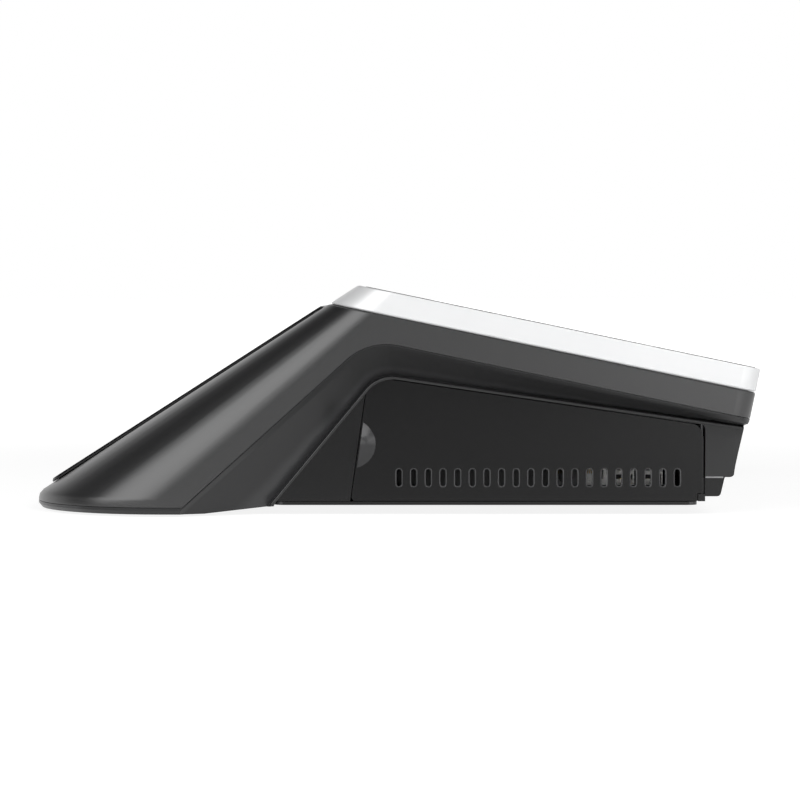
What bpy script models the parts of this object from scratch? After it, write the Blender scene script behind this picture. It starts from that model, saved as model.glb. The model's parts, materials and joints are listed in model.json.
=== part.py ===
"""Countertop point-of-sale touchscreen terminal.

A low wedge: a tilted display deck and a long rear slope share one moulded upper housing, which sits on a
lower housing with a waist and a narrower base. Two hinged side covers close the connector bays.

Sizes are in millimetres and degrees. +X is the operator's side, -Y the side with the near cover, +Z up.
"""

import math

import bmesh
import bpy
from mathutils import Matrix, Vector

MM = 0.001

# Outer form
WIDTH = 390.0
HEIGHT = 139.6
DECK_LENGTH = 248.5
DECK_TILT = 11.75
BACK_SLOPE = 32.7
TOE_RISE = 1.5
SKIRT_TOP = 10.1
SKIRT_ROUND = 3.0
TOE_TRIM = 2.3
TOE_TRIM_INSET = 2.0
REAR_CORNER_TOP = 22.5
REAR_CORNER_TOE = 84.0
FRONT_CORNER = 12.0
WALL = 3.0
SEAM = 0.3

# Display deck
FRAME_HEIGHT = 14.2
FRAME_RIM = 3.0
FRAME_EDGE = 0.8
FRAME_LEDGE = 5.0
GLASS_THICKNESS = 2.4
GLASS_PROUD = 0.3
LCD_END_BORDER = 21.6
LCD_SIDE_BORDER = 19.65
LCD_THICKNESS = 3.2
TRAY_THICKNESS = 1.0
TRAY_MARGIN = 1.5

# Parting line between the housings
PARTING_DEPTH = 30.4
PARTING_TOE = 5.8
PARTING_TOE_LENGTH = 96.0
LEG_SLOPE = 42.0
PARTING_BEND = 35.0
LIP = 3.8
LIP_INSET = 4.0
LIP_EDGE = 0.8

# Waist and base
BASE_INSET = 20.0
WAIST_DEPTH = 24.0
WAIST_LEDGE = 1.5
RIDGE_ROUND = 1.2
BASE_WALL = 7.0
BASE_START = 0.7372
BASE_REAR_SLOPE = 50.3
BASE_TOP_TILT = 8.3
BASE_TOP_DROP = 3.02
BASE_BEND = 20.0
BASE_FRONT_STEP = 1.2
BASE_FRONT_LEAN = 12.9
BASE_FRONT_CORNER = 6.0
BLOCK_BOTTOM = 0.438
BLOCK_ROUND = 3.0
PLINTH_STEP = 5.0
PLINTH_BOTTOM = 11.1
PLINTH_ROUND = 2.5
PLINTH_INSET = 3.0
PLINTH_LENGTH = 11.0

# Base plate
PLATE_RISE = 6.0
PLATE_THICKNESS = 2.0
PLATE_SETBACK = 3.0
SILL = 18.0
VENT_BARS = 9
VENT_BAR_PITCH = 12.0
VENT_BAR_WIDTH = 4.0
VENT_BAR_LENGTH = 60.0
CABLE_SLOT_LENGTH = 80.0
CABLE_SLOT_WIDTH = 14.0

# Side covers
COVER_THICKNESS = 2.2
COVER_GAP = 0.5
COVER_RIM = 1.2
COVER_EDGE_LEAN = 8.0
COVER_START = 0.4
COVER_CORNER_REAR = 11.5
COVER_CORNER_FRONT = 6.5
OPENING_CORNER_FRONT = 3.5
COVER_CORNER_LOW = 2.5
GRIP_RADIUS = 15.0
GRIP_HEIGHT = 43.2
GRIP_BACK = 4.6
GRIP_PROUD = 5.5
GRIP_WALL = 1.6
GRIP_GAP = 0.8
SLOT_COUNT = 20
SLOT_PITCH = 8.91
SLOT_FIRST = 24.8
SLOT_HEIGHT = 22.6
SLOT_LENGTH = 10.6
SLOT_WIDTH = 3.2
SLOT_CHAMFER = 0.65
HINGE_KNUCKLE = 1.6
HINGE_ROD = 0.75
HINGE_SEAT = 2.6
HINGE_LUG = 4.4
RUN_CLEARANCE = 0.3

# Customer display on the rear slope
CUSTOMER_LENGTH = 203.0
CUSTOMER_WIDTH = 250.0
CUSTOMER_THICKNESS = 2.0
CUSTOMER_CORNER = 10.0
CUSTOMER_BEVEL = 1.2
CUSTOMER_START = 26.0
CUSTOMER_LCD_LENGTH = 149.0
CUSTOMER_LCD_WIDTH = 229.0
CUSTOMER_LCD_THICKNESS = 2.6
BRACKET_THICKNESS = 1.2
BRACKET_MARGIN = 8.0

# Electronics
IO_SETBACK = 35.0
IO_THICKNESS = 1.0
IO_REAR_ROOM = 22.0
IO_HEIGHT = 42.0
IO_FOOT = 9.0
PORT_REACH = 6.5
PORT_DEPTH = 19.0
# Connectors: name, vent slot at their middle, width, height, paint, mouth and blade (width, height).
NEAR_PORTS = (
    ("power_inlet", 20, 10.5, 11.0, "chip", (7.6, 7.6), (2.4, 2.4)),
    ("usb_stack_front", 18.5, 14.4, 15.6, "steel", (12.6, 12.6), (10.6, 8.6)),
    ("usb_stack_rear", 16.5, 14.4, 15.6, "steel", (12.6, 12.6), (10.6, 8.6)),
    ("lan_port", 14.5, 16.2, 13.6, "steel", (11.8, 8.2), None),
    ("drawer_port", 12.5, 16.0, 13.0, "port_plastic", (9.8, 6.8), None),
)
FAR_PORTS = (
    ("video_port", 18.5, 16.0, 7.0, "steel", (14.2, 4.8), (11.0, 1.4)),
    ("serial_port_front", 16.5, 16.0, 13.0, "port_plastic", (11.8, 8.2), None),
    ("serial_port_rear", 14.5, 16.0, 13.0, "port_plastic", (11.8, 8.2), None),
)
BOARD_THICKNESS = 1.6
BOARD_LENGTH = 180.0
BOARD_SIDE_ROOM = 95.0
BOARD_RISE = 10.0
STANDOFF_RADIUS = 3.0
STANDOFF_EDGE = 6.0
CPU_SIDE = 37.0
CPU_HEIGHT = 2.4
SINK_SIDE = 82.0
SINK_BASE = 4.0
SINK_FIN_HEIGHT = 16.0
SINK_FIN_THICKNESS = 1.6
SINK_FINS = 11
MEMORY_LENGTH = 67.6
MEMORY_WIDTH = 30.0
MEMORY_HEIGHT = 4.6
DRIVE_LENGTH = 80.0
DRIVE_WIDTH = 22.0
DRIVE_HEIGHT = 3.5
POWER_BOARD_LENGTH = 34.0
POWER_BOARD_WIDTH = 110.0
COIL_RADIUS = 9.0
COIL_HEIGHT = 14.0
SPEAKER_LENGTH = 44.0
SPEAKER_WIDTH = 19.0
SPEAKER_HEIGHT = 12.0
SPEAKER_MAGNET = 4.0
SPEAKER_SLOTS = 6
TOUCH_BOARD_LENGTH = 34.0
TOUCH_BOARD_WIDTH = 70.0

# Power button and status lens on the front block
BUTTON_RADIUS = 6.0
BUTTON_FLANGE = 7.4
BUTTON_FLANGE_THICKNESS = 1.4
BUTTON_PROUD = 2.0
BUTTON_TRAVEL = 1.5
BUTTON_SIDE = 118.0
SWITCH_SIDE = 12.0
SWITCH_HEIGHT = 5.0
BOSS_RADIUS = 3.0
LENS_RADIUS = 1.8
LENS_PITCH = 16.0

# Feet and screws
FOOT_RADIUS = 9.0
FOOT_SPREAD = 84.0
FOOT_REAR = 40.0
FOOT_FRONT = 40.0
PAD_LENGTH = 12.0
PAD_WIDTH = 60.0
PAD_SPREAD = 66.0
PAD_BACK = 40.0
SCREW_RADIUS = 1.4
SCREW_HEAD = 2.9
SCREW_HEAD_HEIGHT = 1.8
SCREW_LENGTH = 4.2
SCREW_SPREAD = 130.0

HALF = WIDTH / 2
BASE_HALF = HALF - BASE_INSET
LCD_LENGTH = DECK_LENGTH - 2 * LCD_END_BORDER
LCD_WIDTH = WIDTH - 2 * LCD_SIDE_BORDER
BOARD_WIDTH = WIDTH - 2 * BOARD_SIDE_ROOM
GRIP_BALL = (GRIP_RADIUS**2 + GRIP_PROUD**2) / (2 * GRIP_PROUD)
CORNER_STEPS = 12
FRONT_STEPS = 5
BEND_STEPS = 8
WAIST_SPANS = 6
RIDGE_STEPS = 3
FAR = 400.0

PARTS = "pos_touchscreen_terminal"
CUTTERS = "cutters"


class Line:
    """A line in the XZ side profile. Its left-hand side is its positive offset."""

    def __init__(self, x, z, degrees):
        self.x, self.z, self.degrees = x, z, degrees
        self.dx = math.cos(math.radians(degrees))
        self.dz = math.sin(math.radians(degrees))

    def offset(self, distance):
        return Line(self.x - self.dz * distance, self.z + self.dx * distance, self.degrees)

    def along(self, distance):
        return self.x + self.dx * distance, self.z + self.dz * distance

    def at_x(self, x):
        return x, self.z + (x - self.x) * self.dz / self.dx

    def at_z(self, z):
        return self.x + (z - self.z) * self.dx / self.dz, z

    def meet(self, other):
        cross = self.dx * other.dz - self.dz * other.dx
        reach = ((other.x - self.x) * other.dz - (other.z - self.z) * other.dx) / cross
        return self.along(reach)


def side_profile():
    """The lines that the housings, the deck and the base are measured from."""
    length = DECK_LENGTH * math.cos(math.radians(DECK_TILT))
    toe = (HEIGHT - SKIRT_TOP) / math.tan(math.radians(BACK_SLOPE))
    rear_top = (toe - length) / 2
    lines = {}
    lines["deck"] = Line(rear_top, HEIGHT, -DECK_TILT)
    lines["slope"] = Line(rear_top, HEIGHT, BACK_SLOPE)
    lines["front"] = Line(*lines["deck"].along(DECK_LENGTH), -90 - DECK_TILT)
    lines["toe"] = rear_top - toe
    lines["part_leg"] = Line(lines["toe"] + PARTING_TOE_LENGTH, PARTING_TOE, LEG_SLOPE)
    lines["part_slab"] = lines["deck"].offset(-PARTING_DEPTH)
    lip_front = lines["part_slab"].offset(-LIP).meet(lines["front"])
    lines["block_top"] = lip_front[1] - BASE_TOP_DROP
    lines["block_bottom"] = lines["block_top"] * BLOCK_BOTTOM
    lines["base_front"] = Line(lip_front[0] - BASE_FRONT_STEP, lines["block_top"], -90 - BASE_FRONT_LEAN)
    lines["plinth_front"] = lines["base_front"].offset(-PLINTH_STEP)
    lines["base_top"] = Line(*lines["base_front"].along(0), -BASE_TOP_TILT)
    lines["base_rear"] = Line(lines["toe"] + toe * BASE_START, PLATE_RISE, BASE_REAR_SLOPE)
    lines["plinth_rear"] = lines["plinth_front"].at_z(PLINTH_BOTTOM)[0] - PLINTH_LENGTH
    lines["plate_front"] = lines["plinth_rear"] - PLATE_SETBACK
    lines["cover_front"] = lines["plinth_rear"] + 1.0
    lines["cover_rear"] = Line(
        rear_top + COVER_START, GRIP_HEIGHT, 90 - COVER_EDGE_LEAN
    )
    lines["rear_top"] = rear_top
    return lines


SIDE = side_profile()


def collection(name):
    found = bpy.data.collections.get(name) or bpy.data.collections.new(name)
    if found.name not in bpy.context.scene.collection.children:
        bpy.context.scene.collection.children.link(found)
    return found


def material(name, colour, roughness, metallic=0.0):
    made = bpy.data.materials.get(name)
    if made:
        return made
    made = bpy.data.materials.new(name)
    made.use_nodes = True
    shader = made.node_tree.nodes["Principled BSDF"]
    shader.inputs["Base Color"].default_value = (*colour, 1.0)
    shader.inputs["Roughness"].default_value = roughness
    shader.inputs["Metallic"].default_value = metallic
    made.diffuse_color = (*colour, 1.0)
    return made


def paints():
    return {
        "housing": material("satin_dark_plastic", (0.06, 0.06, 0.065), 0.45),
        "base": material("matte_black_plastic", (0.035, 0.035, 0.037), 0.5),
        "silver": material("silver_paint", (0.72, 0.73, 0.74), 0.35, 0.3),
        "glass": material("black_glass", (0.01, 0.01, 0.012), 0.05),
        "panel": material("lcd_panel", (0.03, 0.03, 0.035), 0.3),
        "steel": material("zinc_steel", (0.6, 0.6, 0.6), 0.35, 1.0),
        "alloy": material("black_anodised", (0.05, 0.05, 0.05), 0.4, 1.0),
        "board": material("solder_mask", (0.02, 0.12, 0.05), 0.45),
        "chip": material("chip_epoxy", (0.03, 0.03, 0.03), 0.55),
        "rubber": material("rubber", (0.025, 0.025, 0.025), 0.85),
        "port_plastic": material("port_plastic", (0.25, 0.25, 0.26), 0.5),
        "lens": material("status_lens", (0.75, 0.78, 0.8), 0.2),
    }


def to_object(name, bm, paint, where=None, frame=None, smooth=None):
    """The bmesh, in millimetres, as a named object in metres."""
    bmesh.ops.recalc_face_normals(bm, faces=bm.faces)
    bmesh.ops.scale(bm, vec=(MM, MM, MM), verts=bm.verts)
    mesh = bpy.data.meshes.new(name)
    bm.to_mesh(mesh)
    bm.free()
    if smooth is not None:
        mesh.shade_smooth()
        mesh.set_sharp_from_angle(angle=math.radians(smooth))
    made = bpy.data.objects.new(name, mesh)
    collection(where or PARTS).objects.link(made)
    if paint:
        mesh.materials.append(paint)
    if frame is not None:
        made.matrix_world = frame
    if where == CUTTERS:
        made.hide_render = True
        made.display_type = "WIRE"
    return made


def loft(rings, bm=None):
    """A closed solid through rings of equally many points."""
    bm = bm or bmesh.new()
    loops = [[bm.verts.new(point) for point in ring] for ring in rings]
    bm.faces.new(loops[0])
    for low, high in zip(loops, loops[1:]):
        for i, start in enumerate(low):
            after = (i + 1) % len(low)
            bm.faces.new((start, low[after], high[after], high[i]))
    bm.faces.new(reversed(loops[-1]))
    return bm


def prism(outline, axis, start, end, bm=None):
    """A flat outline pushed along Y (outline in X, Z) or along Z (outline in X, Y)."""
    bm = bm or bmesh.new()
    lift = {"Y": lambda a, b: (a, start, b), "Z": lambda a, b: (a, b, start)}[axis]
    face = bm.faces.new([bm.verts.new(lift(*point)) for point in outline])
    made = bmesh.ops.extrude_face_region(bm, geom=[face])["geom"]
    push = (0, end - start, 0) if axis == "Y" else (0, 0, end - start)
    bmesh.ops.translate(bm, vec=push, verts=[v for v in made if isinstance(v, bmesh.types.BMVert)])
    return bm


def box(low, high, bm=None):
    bm = bm or bmesh.new()
    middle = [(a + b) / 2 for a, b in zip(low, high)]
    size = [b - a for a, b in zip(low, high)]
    made = bmesh.ops.create_cube(bm, size=1.0)["verts"]
    bmesh.ops.scale(bm, vec=size, verts=made)
    bmesh.ops.translate(bm, vec=middle, verts=made)
    return bm


def block(x, y, low, length, width, height, bm=None):
    """A box that stands on the height low, centred on x and y."""
    half_l, half_w = length / 2, width / 2
    return box((x - half_l, y - half_w, low), (x + half_l, y + half_w, low + height), bm)


def rod(start, end, radius, sides=20, bm=None, end_radius=None):
    """A cylinder, or a cone, from one point to another."""
    bm = bm or bmesh.new()
    start, end = Vector(start), Vector(end)
    turn = (end - start).to_track_quat("Z", "Y").to_matrix().to_4x4()
    bmesh.ops.create_cone(
        bm,
        cap_ends=True,
        segments=sides,
        radius1=radius,
        radius2=radius if end_radius is None else end_radius,
        depth=(end - start).length,
        matrix=Matrix.Translation((start + end) / 2) @ turn,
    )
    return bm


def arc(before, corner, after, radius, steps):
    """The points of a round corner between two straight edges."""
    corner = Vector(corner)
    back = (Vector(before) - corner).normalized()
    ahead = (Vector(after) - corner).normalized()
    half = back.angle(ahead) / 2
    reach = radius / math.tan(half)
    centre = corner + (back + ahead).normalized() * (radius / math.sin(half))
    start = corner + back * reach - centre
    swing = math.pi - 2 * half
    turn = 1 if back.cross(ahead) < 0 else -1
    points = []
    for i in range(steps + 1):
        angle = turn * swing * i / steps
        cos, sin = math.cos(angle), math.sin(angle)
        points.append((centre.x + start.x * cos - start.y * sin, centre.y + start.x * sin + start.y * cos))
    return points


def rounded(corners, steps=4):
    """An outline from (a, b, radius) corners. A corner without a radius stays sharp."""
    outline = []
    for i, corner in enumerate(corners):
        if len(corner) < 3 or not corner[2]:
            outline.append(tuple(corner[:2]))
            continue
        before, after = corners[i - 1][:2], corners[(i + 1) % len(corners)][:2]
        outline += arc(before, corner[:2], after, corner[2], steps)
    return outline


def plate_outline(low, high, radius, steps=4):
    return rounded(
        [(x, y, radius) for x, y in ((low[0], low[1]), (high[0], low[1]), (high[0], high[1]), (low[0], high[1]))],
        steps,
    )


def boolean(target, cutter, operation):
    change = target.modifiers.new(f"{operation.lower()} {cutter.name}", "BOOLEAN")
    change.operation = operation
    change.solver = "EXACT"
    change.object = cutter
    cutter.hide_render = True
    cutter.display_type = "WIRE"


def cut(target, *cutters):
    for cutter in cutters:
        boolean(target, cutter, "DIFFERENCE")


def fuse(target, *others):
    for other in others:
        boolean(target, other, "UNION")


def cutter(name, bm, frame=None):
    return to_object(f"cut_{name}", bm, None, CUTTERS, frame)


def set_origin(made, point):
    """Moves the object's origin onto a joint axis and leaves the shape where it is."""
    point = Vector(point) * MM
    made.data.transform(Matrix.Translation(-point))
    made.location = point


def rear_corner(height, inset):
    """The rear corners open out from the deck down to the toe."""
    share = (HEIGHT - height) / (HEIGHT - SKIRT_TOP)
    share = min(max(share, -0.2), 1.0)
    return REAR_CORNER_TOP + (REAR_CORNER_TOE - REAR_CORNER_TOP) * share - inset


def ring(rear, front, half, radius, front_radius, height):
    """A rounded outline seen from above. height gives Z at each X."""
    corners = (
        (front - front_radius, front_radius - half, front_radius, -90, FRONT_STEPS),
        (front - front_radius, half - front_radius, front_radius, 0, FRONT_STEPS),
        (rear + radius, half - radius, radius, 90, CORNER_STEPS),
        (rear + radius, radius - half, radius, 180, CORNER_STEPS),
    )
    points = []
    for x, y, size, first, steps in corners:
        for i in range(steps + 1):
            angle = math.radians(first + 90 * i / steps)
            at = x + size * math.cos(angle)
            points.append((at, y + size * math.sin(angle), height(at)))
    return points


def deck_ring(depth, inset):
    """The form's outline in a plane parallel to the deck, at a depth under it."""
    deck = SIDE["deck"].offset(-depth)
    rear = deck.meet(SIDE["slope"].offset(-inset))
    front = deck.meet(SIDE["front"].offset(-inset))
    radius = rear_corner(rear[1], inset)
    return ring(
        rear[0], front[0], HALF - inset, radius, max(FRONT_CORNER - inset, 1.0), lambda x: deck.at_x(x)[1]
    )


def level_ring(height, rear, inset, corner_height):
    front = SIDE["front"].offset(-inset).at_z(height)[0]
    radius = rear_corner(corner_height, inset)
    front_radius = max(FRONT_CORNER - inset, 1.0)
    return ring(rear, front, HALF - inset, radius, front_radius, lambda x: height)


def outer_form(top_rings):
    """The whole outside form from the given top rings down the slope to the toe's underside."""
    toe = SIDE["toe"]
    slope = Line(toe, SKIRT_TOP, BACK_SLOPE)
    upper = slope.along(SKIRT_ROUND)
    half_turn = math.radians(90 - BACK_SLOPE) / 2
    pull = SKIRT_ROUND / math.tan(half_turn) * (1 / math.cos(half_turn) - 1)
    inward = math.radians(BACK_SLOPE / 2 - 45)
    middle = (toe + pull * math.cos(inward), SKIRT_TOP + pull * math.sin(inward))
    rings = list(top_rings)
    rings.append(level_ring(upper[1], upper[0], 0, upper[1]))
    rings.append(level_ring(middle[1], middle[0], 0, SKIRT_TOP))
    rings.append(level_ring(SKIRT_TOP - SKIRT_ROUND, toe, 0, SKIRT_TOP))
    rings.append(level_ring(TOE_RISE + TOE_TRIM, toe, 0, SKIRT_TOP))
    rings.append(level_ring(TOE_RISE, toe + TOE_TRIM_INSET, TOE_TRIM_INSET, SKIRT_TOP))
    return loft(rings)


def inner_form(depth, inset):
    """The hollow inside the outer form, from a depth under the deck to below the floor."""
    slope = SIDE["slope"].offset(-inset)
    rear = slope.at_z(SKIRT_TOP)[0]
    rings = [deck_ring(depth, inset), level_ring(SKIRT_TOP, rear, inset, SKIRT_TOP)]
    rings.append(level_ring(-FAR / 10, rear, inset, SKIRT_TOP))
    return loft(rings)


def stretch(start, end, steps):
    """Evenly spaced points from a start up to, but not at, an end."""
    return [
        (start[0] + (end[0] - start[0]) * i / steps, start[1] + (end[1] - start[1]) * i / steps)
        for i in range(steps)
    ]


def bent_path(leg, slab, radius, low, far, spans=1):
    """A path up the leg line, round the bend and down the slab line."""
    corner = leg.meet(slab)
    start = leg.at_z(low)
    end = slab.at_x(far)
    bend = arc(start, corner, end, radius, BEND_STEPS)
    return [*stretch(start, bend[0], spans), *bend, *reversed(stretch(end, bend[-1], spans))]


def parting_outline(drop, above):
    """The side profile above or below the parting line, as a closed outline."""
    leg = SIDE["part_leg"].offset(-drop)
    slab = SIDE["part_slab"].offset(-drop)
    path = bent_path(leg, slab, PARTING_BEND - drop, PARTING_TOE - drop, FAR)
    beyond = FAR if above else -FAR
    return [(-FAR, PARTING_TOE - drop), *path, (FAR, beyond), (-FAR, beyond)]


def waist_cutter(side):
    """What the waist takes from one side: the lip's chamfer, the deep waist, and all beside the base."""
    low, far = -20.0, SIDE["front"].x + 20.0
    leg, slab = SIDE["part_leg"], SIDE["part_slab"]
    rear, top = SIDE["base_rear"], SIDE["base_top"]

    def path(first, second, radius):
        return bent_path(first, second, radius, low, far, WAIST_SPANS)

    edge = path(leg.offset(-LIP_EDGE), slab.offset(-LIP_EDGE), PARTING_BEND - LIP_EDGE)
    lip = path(leg.offset(-LIP), slab.offset(-LIP), PARTING_BEND - LIP)
    deep = (WAIST_DEPTH, WAIST_LEDGE)
    crest = arc(deep, (BASE_INSET, 0), (BASE_INSET, -WAIST_DEPTH), RIDGE_ROUND, RIDGE_STEPS)
    ridge = [(depth, path(rear.offset(up), top.offset(up), BASE_BEND + up)) for depth, up in (deep, *crest)]
    rings = []
    for i, (outer, chamfer) in enumerate(zip(edge, lip)):
        section = [
            (0 - LIP_INSET, outer[0], outer[1] + LIP_EDGE),
            (0, *outer),
            (LIP_INSET, *chamfer),
            *[(depth, *line[i]) for depth, line in ridge],
            (BASE_INSET, ridge[-1][1][i][0], low - 10),
            (0 - LIP_INSET, outer[0], low - 10),
        ]
        rings.append([(x, side * (HALF - depth), z) for depth, x, z in section])
    return loft(rings)


def waist_keep_out(side):
    """The waist cutter grown by the wall, which the hollow stays clear of."""
    low, far = -20.0, SIDE["front"].x + 20.0
    leg, slab = SIDE["part_leg"], SIDE["part_slab"]
    rear, top = SIDE["base_rear"], SIDE["base_top"]
    grown = WALL + LIP_EDGE

    def path(first, second, radius):
        return bent_path(first, second, radius, low, far, WAIST_SPANS)

    edge = path(leg.offset(grown), slab.offset(grown), PARTING_BEND + grown)
    lip = path(leg.offset(grown - LIP), slab.offset(grown - LIP), PARTING_BEND + grown - LIP)
    deep = path(rear.offset(grown), top.offset(grown), BASE_BEND + grown)
    rings = []
    for outer, chamfer, inner in zip(edge, lip, deep):
        section = (
            (0 - LIP_INSET, *outer),
            (LIP_INSET, *outer),
            (LIP_INSET + WALL, *chamfer),
            (BASE_INSET + BASE_WALL, *inner),
            (BASE_INSET + BASE_WALL, inner[0], low - 10),
            (0 - LIP_INSET, outer[0], low - 10),
        )
        rings.append([(x, side * (HALF - depth), z) for depth, x, z in section])
    return loft(rings)


def underside_outline():
    """The side profile of everything in front of and under the lower housing."""
    slab = SIDE["part_slab"]
    face = SIDE["front"]
    top = PLATE_RISE + PLATE_THICKNESS + SEAM
    rear = SIDE["base_rear"].at_z(top)
    chamfer = slab.offset(-LIP_EDGE).meet(face)
    notch = slab.offset(-LIP).meet(SIDE["base_front"].offset(-LIP_EDGE))
    block_front = SIDE["base_front"].at_z(SIDE["block_bottom"])
    return rounded(
        [
            (FAR, chamfer[1] + FAR * 0.05),
            chamfer,
            (*notch, 2.0),
            (*block_front, BLOCK_ROUND),
            (*SIDE["plinth_front"].at_z(SIDE["block_bottom"]), 1.0),
            (*SIDE["plinth_front"].at_z(PLINTH_BOTTOM), PLINTH_ROUND),
            (SIDE["plinth_rear"], PLINTH_BOTTOM),
            (SIDE["plinth_rear"], top),
            (rear[0] - SEAM, top),
            (rear[0] - SEAM, PLATE_RISE - LIP_EDGE),
            (SIDE["toe"] + PARTING_TOE_LENGTH + LIP, TOE_RISE - LIP_EDGE),
            (SIDE["toe"] + PARTING_TOE_LENGTH, -FAR),
            (FAR, -FAR),
        ]
    )


def floor_outline():
    """The side profile of the lower housing's floors and front wall, seen from inside."""
    top = PLATE_RISE + PLATE_THICKNESS + SEAM + WALL
    rear = SIDE["base_rear"].at_z(top)[0]
    toe_floor = TOE_RISE + WALL
    plinth = SIDE["plinth_front"].offset(-WALL)
    block = SIDE["base_front"].offset(-WALL)
    throat = SIDE["part_slab"].offset(WALL - LIP)
    return [
        (-FAR, toe_floor),
        (SIDE["toe"] + PARTING_TOE_LENGTH, toe_floor),
        (rear, top),
        (rear + SILL, top),
        (rear + SILL, -FAR / 8),
        (SIDE["plate_front"] - SILL, -FAR / 8),
        (SIDE["plate_front"] - SILL, PLINTH_BOTTOM + WALL),
        plinth.at_z(PLINTH_BOTTOM + WALL),
        plinth.at_z(SIDE["block_bottom"] + WALL),
        block.at_z(SIDE["block_bottom"] + WALL),
        block.meet(throat),
        throat.at_x(FAR),
        (FAR, -FAR),
        (-FAR, -FAR),
    ]


def cover_outline(grow, low):
    """The side cover's outline, or the opening round it when grown."""
    left = SIDE["cover_rear"].offset(grow)
    top = SIDE["base_top"].offset(grow - COVER_RIM - COVER_GAP)
    right = SIDE["cover_front"] + grow
    return left, top, right, low


def opening_outline():
    left, top, right, low = cover_outline(COVER_GAP, -10.0)
    return rounded(
        [
            left.at_z(low),
            (right, low),
            (*top.at_x(right), OPENING_CORNER_FRONT),
            (*left.meet(top), COVER_CORNER_REAR + COVER_GAP),
        ],
        6,
    )


def lug_box():
    """Low corner where the hinge rod's lower end is held."""
    right = SIDE["cover_front"]
    low = PLATE_RISE + PLATE_THICKNESS + SEAM
    return right - 2 * HINGE_KNUCKLE - COVER_GAP, right + COVER_GAP, low, low + HINGE_LUG


def hinge_axis(side):
    return SIDE["cover_front"] - HINGE_KNUCKLE, side * (BASE_HALF - HINGE_KNUCKLE)


def hinge_top():
    """The hinge rod's upper seat starts where the opening's edge crosses the axis."""
    x = hinge_axis(1)[0]
    crossings = []
    outline = opening_outline()
    for (xa, za), (xb, zb) in zip(outline, outline[1:] + outline[:1]):
        if (xa - x) * (xb - x) < 0:
            crossings.append(za + (zb - za) * (x - xa) / (xb - xa))
    return max(crossings)


def apply_modifiers(made):
    """Keeps the evaluated mesh, so that edges can be picked on it."""
    graph = bpy.context.evaluated_depsgraph_get()
    mesh = bpy.data.meshes.new_from_object(made.evaluated_get(graph))
    made.modifiers.clear()
    made.data = mesh


def bevel_where(made, chosen, width, segments):
    """Rounds the edges that chosen(start, end), in millimetres, picks."""
    bm = bmesh.new()
    bm.from_mesh(made.data)
    bmesh.ops.dissolve_limit(bm, angle_limit=math.radians(0.05), verts=bm.verts, edges=bm.edges)
    picked = []
    for edge in bm.edges:
        start, end = (vert.co / MM for vert in edge.verts)
        if chosen(start, end):
            picked.append(edge)
    bmesh.ops.bevel(bm, geom=picked, offset=width * MM, segments=segments, affect="EDGES", profile=0.5)
    bm.to_mesh(made.data)
    bm.free()


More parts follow.
